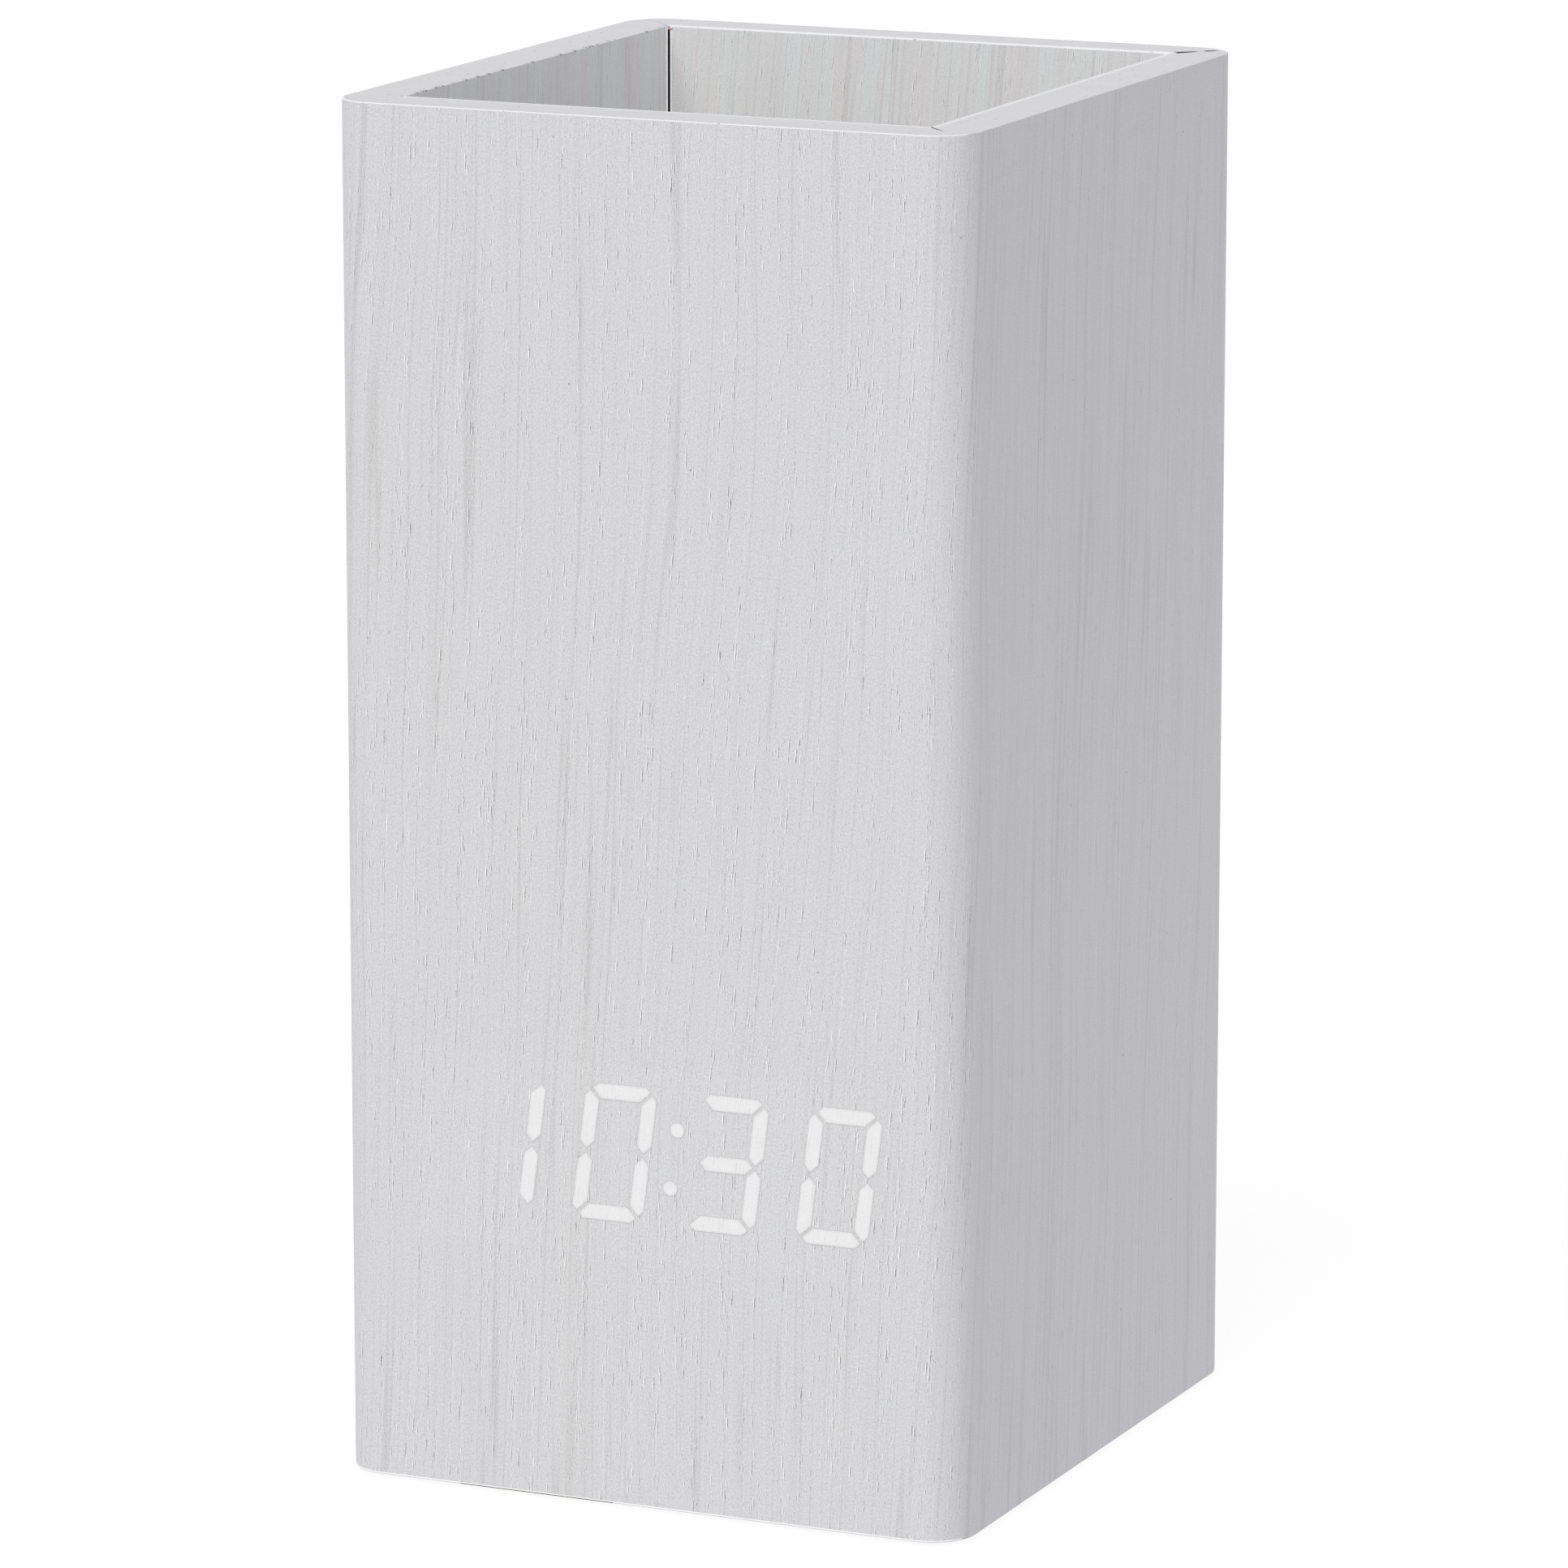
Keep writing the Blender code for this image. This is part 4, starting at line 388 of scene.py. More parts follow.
FILM = wood_print(
    "film_grain", (0.845, 0.848, 0.852), (0.82, 0.81, 0.795), 0.62, 0.6, 2.7,
    calm=(142.0, 0.6), window=WINDOW,
)
INNER = wood_print("inner_grain", WASHED, WASHED_WARM, 0.42, 0.85, 11.4, long=2.0, fuzz=0.6)
FLOOR = wood_print(
    "cup_floor_grain", WASHED, WASHED_WARM, 0.42, 0.85, 23.9, "object", lean=0.0, fuzz=0.55,
)
RIM = rim_paint("rim_paint", (0.69, 0.69, 0.70), 0.5)
# Painted highlight: the soft paint edges get a far paler colour than the rim, standing in for the light
# they catch
EDGE_HIGHLIGHT = rim_paint("rim_edge_painted_highlight", (0.93, 0.93, 0.94), 0.25, Specular_IOR_Level=0.8)
WORN = rim_paint("worn_edge_paint", (0.70, 0.70, 0.72), 0.5, close=1.1, largest=0.32, dirt=0.6)
# Dimmer painted highlight: a paler copy of the rim paint for the right board's inner edge
DIM_EDGE_HIGHLIGHT = rim_paint("dim_edge_painted_highlight", (0.80, 0.80, 0.81), 0.4)
# Painted highlight: a near-white, faintly glowing paint for thin bright lines along edges
HIGHLIGHT_BEAD = speckled(
    "painted_highlight_bead", (0.95, 0.95, 0.95), 0.3, 5.0, 0.01, 0.03,
    Emission_Color=(1.0, 1.0, 1.0, 1.0), Emission_Strength=0.2,
)
SPOT = speckled("red_spot", (0.60, 0.36, 0.32), 0.5, 6.0, 0.01, 0.1)
# Near-black: dark glue in the open mitres, and painted shade where their gaps and the lower front edge
# fall dark
GLUE_AND_SHADE = speckled("dark_glue_and_painted_shade", (0.032, 0.029, 0.026), 0.8, 4.0, 0.05, 0.2)
RAW = fibreboard("raw_fibreboard")
BATTEN = batten_wood("sawn_batten")
MOULDED = speckled("white_moulding", (0.80, 0.80, 0.81), 0.45, 4.0, 0.03, 0.02)
BUTTON = speckled("button_moulding", (0.83, 0.83, 0.84), 0.32, 5.0, 0.008, 0.02)
MARK = speckled("grey_mark", (0.30, 0.30, 0.32), 0.5, 5.0, 0.01, 0.04)
RUBBER = speckled("grey_rubber", (0.20, 0.20, 0.21), 0.85, 5.0, 0.05, 0.10)
REFLECTOR = speckled("reflector_moulding", (0.86, 0.86, 0.87), 0.45, 3.0, 0.01, 0.02)
DIFFUSER = speckled("diffuser_sheet", (0.92, 0.92, 0.95), 0.4, 6.0, 0.01, 0.02)
MAIN_CIRCUIT = circuit("main_circuit")
DISPLAY_CIRCUIT = circuit("display_circuit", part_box("display_board")[0][1] / MM + 0.45)
BLACK = speckled("black_moulding", (0.03, 0.03, 0.032), 0.42, 4.0, 0.02, 0.12)
CHIP = speckled("chip_moulding", (0.035, 0.035, 0.037), 0.6, 7.0, 0.03, 0.12)
NICKEL = brushed("nickel_sheet", (0.72, 0.71, 0.69), 0.3, 2)
COIN = brushed("coin_steel", (0.74, 0.74, 0.73), 0.26, 0)
SPRING = brushed("spring_wire", (0.70, 0.69, 0.67), 0.28, 0)
ZINC = brushed("zinc_plate", (0.62, 0.63, 0.66), 0.34, 1)
STEEL = brushed("cell_steel", (0.76, 0.76, 0.75), 0.28, 0)
JACKET = cell_jacket("cell_sleeve", (0.06, 0.09, 0.16), (0.62, 0.63, 0.65), 13.5, 19.5)
SEAL = speckled("cell_seal", (0.10, 0.10, 0.10), 0.6, 5.0, 0.02, 0.08)
RED = speckled("red_lead", (0.60, 0.03, 0.02), 0.42, 3.0, 0.02, 0.08)
DARK = speckled("black_lead", (0.02, 0.02, 0.02), 0.45, 3.0, 0.02, 0.12)
RIBBON = ribbed_ribbon("grey_ribbon")
LIT_CORE = lit("lit_segment", 0.205)
LIT_EDGE = lit("lit_segment_edge", 0.14)
LIT_OUTLINE = lit("lit_segment_outline", 0.0, 0.9)


# Mesh helpers


def finished(shape, *looks):
    """A shape turned into a mesh whose faces look outwards."""
    bmesh.ops.recalc_face_normals(shape, faces=shape.faces)
    mesh = bpy.data.meshes.new("shape")
    shape.to_mesh(mesh)
    shape.free()
    for look in looks:
        mesh.materials.append(look)
    return mesh


def placed(name, data):
    """A new object in the scene."""
    item = bpy.data.objects.new(name, data)
    bpy.context.scene.collection.objects.link(item)
    return item


def piece(name, mesh, body="clock_body", replaced=(), crisp=40, even=False):
    """A mesh as a named piece on its body, shaded smooth up to a crisp angle in degrees."""
    mesh.name = name
    mesh.shade_smooth()
    mesh.set_sharp_from_angle(angle=math.radians(crisp))
    item = placed(name, mesh)
    if even:
        weighted = item.modifiers.new("even faces", "WEIGHTED_NORMAL")
        weighted.weight = 100
        weighted.keep_sharp = True
    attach(item, body)
    if replaced:
        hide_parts(*replaced)


def arc(centre, radius, start, end, steps):
    turns = [start + (end - start) * step / steps for step in range(steps + 1)]
    return [(centre[0] + radius * math.cos(t), centre[1] + radius * math.sin(t)) for t in turns]


def rectangle(left, right, low, high):
    return [(left, low), (right, low), (right, high), (left, high)]


def rounded_rectangle(half_x, half_y, radius, steps):
    points = []
    for quarter, (side_x, side_y) in enumerate(((-1, 1), (-1, -1), (1, -1), (1, 1))):
        centre = (side_x * (half_x - radius), side_y * (half_y - radius))
        start = math.pi / 2 * (quarter + 1)
        points += arc(centre, radius, start, start + math.pi / 2, steps)
    return points


def prism(outline, low, high, place=Matrix.Identity(4), look=0, shape=None):
    """A straight-sided solid on an outline, added to a shape that may hold others."""
    shape = shape or bmesh.new()
    rows = [[shape.verts.new(place @ Vector((x, y, z))) for x, y in outline] for z in (low, high)]
    faces = [shape.faces.new(rows[0][::-1]), shape.faces.new(rows[1])]
    for number in range(len(outline)):
        after = (number + 1) % len(outline)
        faces.append(shape.faces.new((rows[0][number], rows[0][after], rows[1][after], rows[1][number])))
    for face in faces:
        face.material_index = look
    return shape


def carve(mesh, cutters, look):
    """A mesh with the cutters' shapes taken out; the cut faces get the given look."""
    item = placed("carved", mesh)
    tools = []
    for number, shape in enumerate(cutters):
        tool = placed(f"tool_{number}", finished(shape, look))
        change = item.modifiers.new("cut", "BOOLEAN")
        change.operation = "DIFFERENCE"
        change.solver = "EXACT"
        change.material_mode = "TRANSFER"
        change.object = tool
        tools.append(tool)
    bpy.context.view_layer.update()
    graph = bpy.context.evaluated_depsgraph_get()
    result = bpy.data.meshes.new_from_object(item.evaluated_get(graph))
    for extra in tools + [item]:
        bpy.data.objects.remove(extra, do_unlink=True)
    return result


def circle(radius, steps, centre=(0, 0)):
    return arc(centre, radius, 0, 2 * math.pi, steps)[:-1]


def ring_of(shape, place, radius, height, steps):
    return [shape.verts.new(place @ Vector((x, y, height))) for x, y in circle(radius, steps)]


def join_rings(shape, rings, look=0):
    """Four-sided faces between each ring and the next."""
    for a, b in zip(rings, rings[1:]):
        for step in range(len(a)):
            after = (step + 1) % len(a)
            shape.faces.new((a[step], a[after], b[after], b[step])).material_index = look


def lathe(profile, place, steps=48, looks=(), shape=None):
    """A solid turned about the place's z axis from (radius, height) in mm; looks are one per span."""
    shape = shape or bmesh.new()
    rings = []
    for radius, height in profile:
        if radius == 0.0:
            rings.append([shape.verts.new(place @ Vector((0, 0, height * MM)))])
        else:
            rings.append(ring_of(shape, place, radius * MM, height * MM, steps))
    for span, (a, b) in enumerate(zip(rings, rings[1:])):
        for step in range(steps):
            after = (step + 1) % steps
            corners = [a[step % len(a)], a[after % len(a)], b[after % len(b)], b[step % len(b)]]
            corners = [v for number, v in enumerate(corners) if v not in corners[:number]]
            face = shape.faces.new(corners)
            if looks:
                face.material_index = looks[span]
    return shape


def axis_place(at, axis):
    """A frame whose z axis runs along the given direction from a point."""
    return Matrix.Translation(Vector(at)) @ Vector(axis).to_track_quat("Z", "Y").to_matrix().to_4x4()


def corners_of(node):
    return [Vector(corner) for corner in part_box(node)]


def on_the_back(node):
    """The middle of a node as seen from behind, at y = 0, and its rear and front ends in mm."""
    low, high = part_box(node)
    return Vector(((low[0] + high[0]) / 2, 0, (low[2] + high[2]) / 2)), high[1] / MM, low[1] / MM


# Skin and boards of the case


def skin_plan(inset):
    """The film's outline from its seam round to its seam."""
    steps = 20
    outline = rounded_rectangle(HALF_X - inset, HALF_Y - inset, CORNER - inset, steps)
    front = 2 * (steps + 1)
    outline[front:front] = [(x, -(HALF_Y - inset)) for x in SHADOW_LINE_X]
    outline.append((SEAM_X + SEAM, HALF_Y - inset))
    return outline


def unrolled_lengths(outline):
    """How far along the outline each of its points is, in mm."""
    lengths = [0.0]
    for a, b in zip(outline, outline[1:]):
        lengths.append(lengths[-1] + math.hypot(b[0] - a[0], b[1] - a[1]) / MM)
    return lengths


def make_skin():
    """One sheet of film wrapped round the case, soft at its edges, with the rear opening cut in it."""
    soft_low, soft_high, line_high = 0.12 * MM, 0.13 * MM, 0.24 * MM
    levels = [(SKIN, BOTTOM), (soft_low, BOTTOM)]
    levels += [
        (soft_low * (1 - math.sin(t)), BOTTOM + soft_low * (1 - math.cos(t)))
        for t in (math.pi / 4, math.pi / 2)
    ]
    levels.append((0.0, BOTTOM + line_high))
    levels += [
        (soft_high * (1 - math.cos(t)), TOP - soft_high * (1 - math.sin(t)))
        for t in (0.0, math.pi / 6, math.pi / 3, math.pi / 2)
    ]
    levels.append((SKIN, TOP))
    film, edge, raw, rim, worn, shadow_line, highlight_line = range(7)
    # On the front the soft edges carry a painted highlight, the strip above the bottom edge a glowing
    # bead of painted highlight, and one stretch of the bottom edge a dark painted shadow line; elsewhere
    # the edges are worn paint
    row_looks = [raw, edge, edge, highlight_line, film, edge, edge, edge, rim, film]
    shape = bmesh.new()
    unrolled = shape.loops.layers.uv.new("Grain")
    lengths = unrolled_lengths(skin_plan(0.0))
    rows = [[shape.verts.new((x, y, z)) for x, y in skin_plan(inset)] for inset, z in levels]
    for number, look in enumerate(row_looks):
        below, above = rows[number], rows[(number + 1) % len(rows)]
        for column in range(len(below) - 1):
            corners = (below[column], below[column + 1], above[column + 1], above[column])
            face = shape.faces.new(corners)
            middle = (below[column].co.x + below[column + 1].co.x) / 2
            face.material_index = look
            in_front = FRONT_FROM < lengths[column] < FRONT_TO
            if number in (1, 2) and in_front and SHADOW_LINE_X[0] < middle < SHADOW_LINE_X[1]:
                face.material_index = shadow_line
            elif look == edge and not in_front:
                face.material_index = worn
            elif look == highlight_line and not in_front:
                face.material_index = film
            for loop, place in zip(face.loops, (column, column + 1, column + 1, column)):
                loop[unrolled].uv = (lengths[place], loop.vert.co.z / MM)
    for column in (0, -1):
        shape.faces.new([row[column] for row in rows]).material_index = raw
    finishes = (FILM, EDGE_HIGHLIGHT, RAW, RIM, WORN, GLUE_AND_SHADE, HIGHLIGHT_BEAD)
    cut = carve(finished(shape, *finishes), [opening_tool()], RIM)
    piece("film_skin", cut, replaced=("grain_film",), even=True)


def opening_tool():
    outline = rounded_rectangle(OPENING_X, OPENING_HALF, 2.0 * MM, 12)
    place = Matrix.Translation((0, 30 * MM, OPENING_Z)) @ Matrix.Rotation(math.radians(-90), 4, "X")
    return prism([(x, -y) for x, y in outline][::-1], 0.0, 12 * MM, place)


# At each end of a board: how far its mitre face stands back, at distances from the inner face in mm
MITRES = {
    "front_left": [(0, 0.012), (0.5, 0.012), (5.6, 0.008)],
    "front_right": [(0, 0.12), (1.2, 0.11), (2.2, 0.05), (2.6, 0.006), (5.6, 0.005)],
    "back_right": [
        (0, 0.012), (0.75, 0.012), (0.85, 0.52), (1.6, 0.46), (2.35, 0.28), (2.5, 0.012), (3.05, 0.012),
        (3.2, 0.36), (4.0, 0.26), (4.15, 0.01), (5.6, 0.008),
    ],
    "back_left": [
        (0, 0.15), (2.4, 0.14), (2.6, 0.012), (4.1, 0.012), (4.3, 0.28), (4.9, 0.28), (5.0, 0.01),
        (5.6, 0.008),
    ],
}


def stand_back(corner, depth):
    points = MITRES[corner]
    for (d0, g0), (d1, g1) in zip(points, points[1:]):
        if depth <= d1:
            return g0 + (g1 - g0) * max(0.0, depth - d0) / (d1 - d0)
    return points[-1][1]


def board_levels(left, right, wall):
    """Distances from the inner face, and heights, up the inner face, over its soft edge and out."""
    soft = 0.13
    levels = [(0.0, BOTTOM / MM), (0.0, TOP / MM - soft)]
    levels += [
        (soft * (1 - math.cos(t)), TOP / MM - soft * (1 - math.sin(t)))
        for t in (math.pi / 6, math.pi / 3, math.pi / 2)
    ]
    outs = {d for corner in (left, right) for d, _ in MITRES[corner]}
    radius = CORNER / MM - SKIN / MM
    start = wall - radius + radius * math.sin(math.pi / 4)
    outs |= {start + (wall - start) * k / 10 for k in range(11)}
    levels += [(d, TOP / MM) for d in sorted(outs) if soft < d <= wall]
    levels.append((wall, BOTTOM / MM))
    return levels


def board_end(inner, depth, wall, corner):
    """Where a board ends along its length, in mm, at a distance from its inner face."""
    radius = CORNER / MM - SKIN / MM
    centre_out = wall - radius
    mitre = inner + depth - stand_back(corner, depth) * math.sqrt(2)
    if depth > centre_out:
        reach = inner + centre_out + math.sqrt(max(0.0, radius**2 - (depth - centre_out) ** 2))
        return min(mitre, reach)
    return mitre


def make_board(side, turns, left, right, skew, tool=None, soft_look=EDGE_HIGHLIGHT):
    """A mitred board that faces -y before its quarter turns: inner face at -face, ends at +-inner."""
    inner, face = (INNER_Y, INNER_X) if turns % 2 else (INNER_X, INNER_Y)
    wall = (WALL - SKIN) / MM
    looks = (INNER, soft_look, RIM, RAW, GLUE_AND_SHADE)
    levels = board_levels(left, right, wall)
    shape = bmesh.new()
    unrolled = shape.loops.layers.uv.new("Grain")
    rows = []
    for depth, z in levels:
        low = -board_end(inner / MM, depth, wall, left)
        high = board_end(inner / MM, depth, wall, right)
        y = -(face / MM + depth)
        rows.append([shape.verts.new(Vector((x, y, z)) * MM) for x in (low, high)])
    count = len(rows)
    for number in range(count - 1):
        a, b = rows[number], rows[number + 1]
        quad = shape.faces.new((a[0], a[1], b[1], b[0]))
        quad.material_index = looks.index(RIM if number > 4 else soft_look if number else INNER)
        for loop in quad.loops:
            loop[unrolled].uv = (-loop.vert.co.x / MM + skew, loop.vert.co.z / MM)
    feet = []
    for end in (0, 1):
        base = [rows[0][end]]
        for number in range(2, count - 1):
            x, y, _ = rows[number][end].co
            foot = rows[-1][end] if number == count - 2 else shape.verts.new((x, y, BOTTOM))
            quad = shape.faces.new((base[-1], foot, rows[number][end], rows[number - 1][end]))
            # The mitre faces are near-black: dark glue and painted shade in the open joints
            quad.material_index = looks.index(GLUE_AND_SHADE)
            base.append(foot)
        feet.append(base)
    shape.faces.new(feet[0] + feet[1][::-1]).material_index = looks.index(RAW)
    mesh = finished(shape, *looks)
    mesh.transform(Matrix.Rotation(turns * math.radians(90), 4, "Z"))
    if tool:
        mesh = carve(mesh, [tool()], RIM)
    piece(f"{side}_board", mesh, replaced=(f"{side}_panel",), even=True)


def window_tool():
    low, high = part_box("display_reflector")
    ease = 0.3 * MM
    outline = rectangle(low[0] - ease, high[0] + ease, low[2] - ease, high[2] + ease)
    place = Matrix.Translation((0, -31.4 * MM, 0)) @ Matrix.Rotation(math.radians(90), 4, "X")
    return prism(outline, -0.5 * MM, 6.2 * MM, place)


def make_boards():
    # Inner top edges: front and back with the bright painted highlight, the right with a dimmer painted
    # highlight, the left with worn paint
    make_board("front", 0, "front_left", "front_right", 300, window_tool)
    make_board("right", 1, "front_right", "back_right", 500, soft_look=DIM_EDGE_HIGHLIGHT)
    make_board("back", 2, "back_right", "back_left", 700, opening_tool)
    make_board("left", -1, "back_left", "front_left", 900, soft_look=WORN)


def make_corner_paint():
    """The left rear corner: thin glowing beads of painted highlight along its open joint inside, a plug
    and a red spot on top.
    """
    shape = bmesh.new()
    slit, wide, narrow = 0.15 * math.sqrt(2), 0.42, 0.14
    low, high = 57.0 * MM, TOP - 0.1 * MM
    corner_x, corner_y = -INNER_X, INNER_Y
    for outline in (
        [(slit, 0.0), (slit + narrow, -0.008), (slit + narrow, -0.02), (slit, -0.02)],
        [(0.0, -slit), (0.02, -slit), (0.02, -slit - wide), (0.008, -slit - wide)],
    ):
        prism([(corner_x + x * MM, corner_y + y * MM) for x, y in outline], low, high, shape=shape)
    side, deep = 0.16, 2.7
    outline = [
        (side, 0.05), (side - deep, deep + 0.05), (-deep - 0.05, deep - side), (-0.05, -side),
        (0.05, -0.05),
    ]
    outline = [(corner_x + x * MM, corner_y + y * MM) for x, y in outline]
    prism(outline, TOP - 0.4 * MM, TOP - 0.01 * MM, look=1, shape=shape)
    spot = circle(0.12 * MM, 12, (corner_x + 0.36 * MM, corner_y - 0.005 * MM))
    prism(spot, TOP - 0.42 * MM, TOP - 0.24 * MM, look=2, shape=shape)
    piece("corner_paint_and_highlight", finished(shape, HIGHLIGHT_BEAD, RIM, SPOT))


make_skin()
make_boards()
make_corner_paint()


# Lit digits


DIGIT_PITCH, DIGIT_W, DIGIT_H = 12.53, 8.18, 14.58
SLANT, STROKE, CHAMFER, GAP = 0.13, 1.76, 1.4, 0.2
COLON_RADIUS, COLON_RISE, COLON_SIDE = 0.86, 3.1, 0.4
OUTLINE_WIDTH, BORDER_WIDTH = 0.07, 0.16
LIT_LOOKS = (LIT_CORE, LIT_EDGE, LIT_OUTLINE)
TIME = {0: "bc", 1: "abcdef", 2: "abcdg", 3: "abcdef"}


def segments():
    """The seven segments of an upright digit about its middle, in mm, by their usual letters."""
    w, h = DIGIT_W / 2, DIGIT_H / 2
    slit = GAP / math.sqrt(2)
    lean = h - w
    reach = w + h - CHAMFER
    iw, ih = w - STROKE, h - STROKE

    def tip(side):
        return (reach - lean + side) / 2, (reach + lean - side) / 2

    def mirrored(points):
        return [(-x, y) for x, y in reversed(points)]

    def lower(points):
        return [(x, -y) for x, y in reversed(points)]

    top = [(ih - lean - slit, ih), tip(-slit), (reach - h, h)]
    top += mirrored(top)
    right = [
        (w - STROKE / 2, slit), (w, slit + STROKE / 2), (w, reach - w), tip(slit),
        (iw, iw + lean - slit), (iw, slit + STROKE / 2),
    ]
    middle = [(iw - slit, -STROKE / 2), (w - STROKE / 2 - slit, 0.0), (iw - slit, STROKE / 2)]
    middle += mirrored(middle)
    left = mirrored(right)
    return dict(a=top, b=right, c=lower(right), d=lower(top), e=lower(left), f=left, g=middle)


def plate(shape, outline):
    """A thin lit plate on the film: a core, a dimmer border round it, and a faint grey outline."""
    front, back = -38.0 * MM, -37.96 * MM
    verts = [shape.verts.new((DISPLAY_X + x * MM, front, DISPLAY_Z + y * MM)) for x, y in outline]
    face = shape.faces.new(verts)
    core, edge, rim = range(3)
    for look, width in ((rim, OUTLINE_WIDTH), (edge, BORDER_WIDTH)):
        face.normal_update()
        inset = bmesh.ops.inset_individual(
            shape, faces=[face], thickness=width * MM, use_even_offset=True
        )
        for border in inset["faces"]:
            border.material_index = look
    face.material_index = core
    feet = [shape.verts.new((v.co.x, back, v.co.z)) for v in verts]
    for number in range(len(verts)):
        after = (number + 1) % len(verts)
        side = shape.faces.new((verts[number], verts[after], feet[after], feet[number]))
        side.material_index = rim


def make_digits():
    shapes = segments()
    for place, letters in TIME.items():
        shape = bmesh.new()
        middle = (place - 1.5) * DIGIT_PITCH
        for letter in letters:
            plate(shape, [(middle + x + SLANT * y, y) for x, y in shapes[letter]])
        piece(f"lit_digit_{place + 1}", finished(shape, *LIT_LOOKS), crisp=20)
    shape = bmesh.new()
    for side in (-1, 1):
        y = side * COLON_RISE
        plate(shape, circle(COLON_RADIUS, 24, (COLON_SIDE + SLANT * y, y)))
    piece("lit_colon", finished(shape, *LIT_LOOKS), crisp=20)


make_digits()


# Buttons and marks in the rear panel


FACE_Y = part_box("control_panel")[1][1]
MARK_RADIUS, MARK_HOLE = 1.15 * MM, 0.75 * MM


def make_buttons():
    """Dished caps with a soft edge; a ring marks the set button and triangles the other two."""
    for name, sides, turn in (("set", 0, 0), ("up", 3, 90), ("down", 3, -90)):
        node = f"{name}_button"
        at, top, foot = on_the_back(node)
        flange = 33.5
        profile = [
            (0.0, top - 0.16), (1.5, top - 0.15), (2.3, top - 0.08), (2.62, top - 0.01), (2.75, top),
            (2.9, top - 0.03), (3.08, top - 0.12), (3.18, top - 0.28), (3.2, top - 0.45),
            (3.2, flange + 1.0), (4.1, flange + 1.0), (4.1, flange), (1.5, flange), (1.5, foot + 0.1),
            (1.4, foot), (0.0, foot),
        ]
        shape = lathe(profile, axis_place(at, (0, 1, 0)), 56)
        place, low, high = mark_place(at), (top - 0.3) * MM, (top - 0.03) * MM
        if sides:
            start = math.radians(turn)
            outline = arc((0, 0), MARK_RADIUS, start, math.radians(turn + 360), sides)[:-1]
            prism(outline, low, high, place, 1, shape)
        else:
            corners = ((MARK_RADIUS, low), (MARK_RADIUS, high), (MARK_HOLE, high), (MARK_HOLE, low))
            rings = [ring_of(shape, place, radius, height, 32) for radius, height in corners]
            join_rings(shape, rings + rings[:1], 1)
        piece(f"{name}_cap", finished(shape, BUTTON, MARK), node, (node,))


def mark_place(at):
    """A frame on the back: x to the left of someone in front, y up, z outwards."""
    basis = Matrix(((-1, 0, 0, 0), (0, 0, 1, 0), (0, 1, 0, 0), (0, 0, 0, 1)))
    return Matrix.Translation((at[0], 0, at[2])) @ basis


def make_panel_marks():
    """The direct-current sign printed over the power inlet: a bar above three dashes."""
    shape = bmesh.new()
    left, right = corners_of("power_jack")
    place = mark_place((((left + right) / 2).x, 0, OPENING_Z + 6.0 * MM))
    low, high = FACE_Y - 0.1 * MM, FACE_Y + 0.03 * MM
    for x, y, half in ((0.0, 0.32, 1.5), (-1.1, -0.32, 0.4), (0.0, -0.32, 0.4), (1.1, -0.32, 0.4)):
        outline = rectangle(x - half, x + half, y - 0.12, y + 0.12)
        prism([(a * MM, b * MM) for a, b in outline], low, high, place, 0, shape)
    piece("panel_marks", finished(shape, MARK), crisp=30)


def make_jack_pin():
    at, mouth, _ = on_the_back("power_jack")
    profile = [(0.0, 0.86), (0.6, 0.88), (0.9, 1.05), (1.03, 1.4), (1.03, 6.0), (0.0, 6.0)]
    shape = lathe([(radius, mouth - depth) for radius, depth in profile], axis_place(at, (0, 1, 0)), 32)
    piece("jack_centre_pin", finished(shape, NICKEL))


make_buttons()
make_panel_marks()
make_jack_pin()


# Screws, feet, cells and springs


THREAD_PITCH, HEAD_HEIGHT = 0.85, 1.3


def screw_mesh(place, length):
    """A pan-head screw with a cross recess and a helical thread; its head sits below z = 0."""
    shape = bmesh.new()
    head = [
        (0.0, -1.28), (0.7, -1.27), (1.25, -1.17), (1.65, -0.98), (1.9, -0.70), (1.98, -0.42),
        (1.98, -0.06), (1.92, 0.0), (0.9, 0.0),
    ]
    lathe(head, place, 36, shape=shape)
    around, levels = 20, 46
    grid = []
    for level in range(levels + 1):
        height = -0.02 + (length - 0.02) * level / levels
        ring = []
        for step in range(around):
            angle = 2 * math.pi * step / around
            phase = (height / THREAD_PITCH - step / around) % 1.0
            ridge = max(0.0, 1 - abs(phase - 0.5) * 4.0)
            taper = min(1.0, max(0.05, (length - height) / 1.2))
            radius = (0.82 + 0.24 * ridge) * taper
            point = Vector((radius * math.cos(angle), radius * math.sin(angle), height)) * MM
            ring.append(shape.verts.new(place @ point))
        grid.append(ring)
    join_rings(shape, grid)
    shape.faces.new(grid[-1])
    shape.faces.new(grid[0][::-1])
    bars = []
    for wide, narrow in ((0.95, 0.17), (0.17, 0.95)):
        bar = bmesh.new()
        outline = rectangle(-wide, wide, -narrow, narrow)
        rows = [
            [bar.verts.new(place @ (Vector((x * share, y * share, height)) * MM)) for x, y in outline]
            for share, height in ((1.0, -1.6), (1.0, -1.2), (0.45, -0.35))
        ]
        bar.faces.new(rows[0][::-1])
        bar.faces.new(rows[-1])
        join_rings(bar, rows)
        bars.append(bar)
    return carve(finished(shape, ZINC), bars, ZINC)


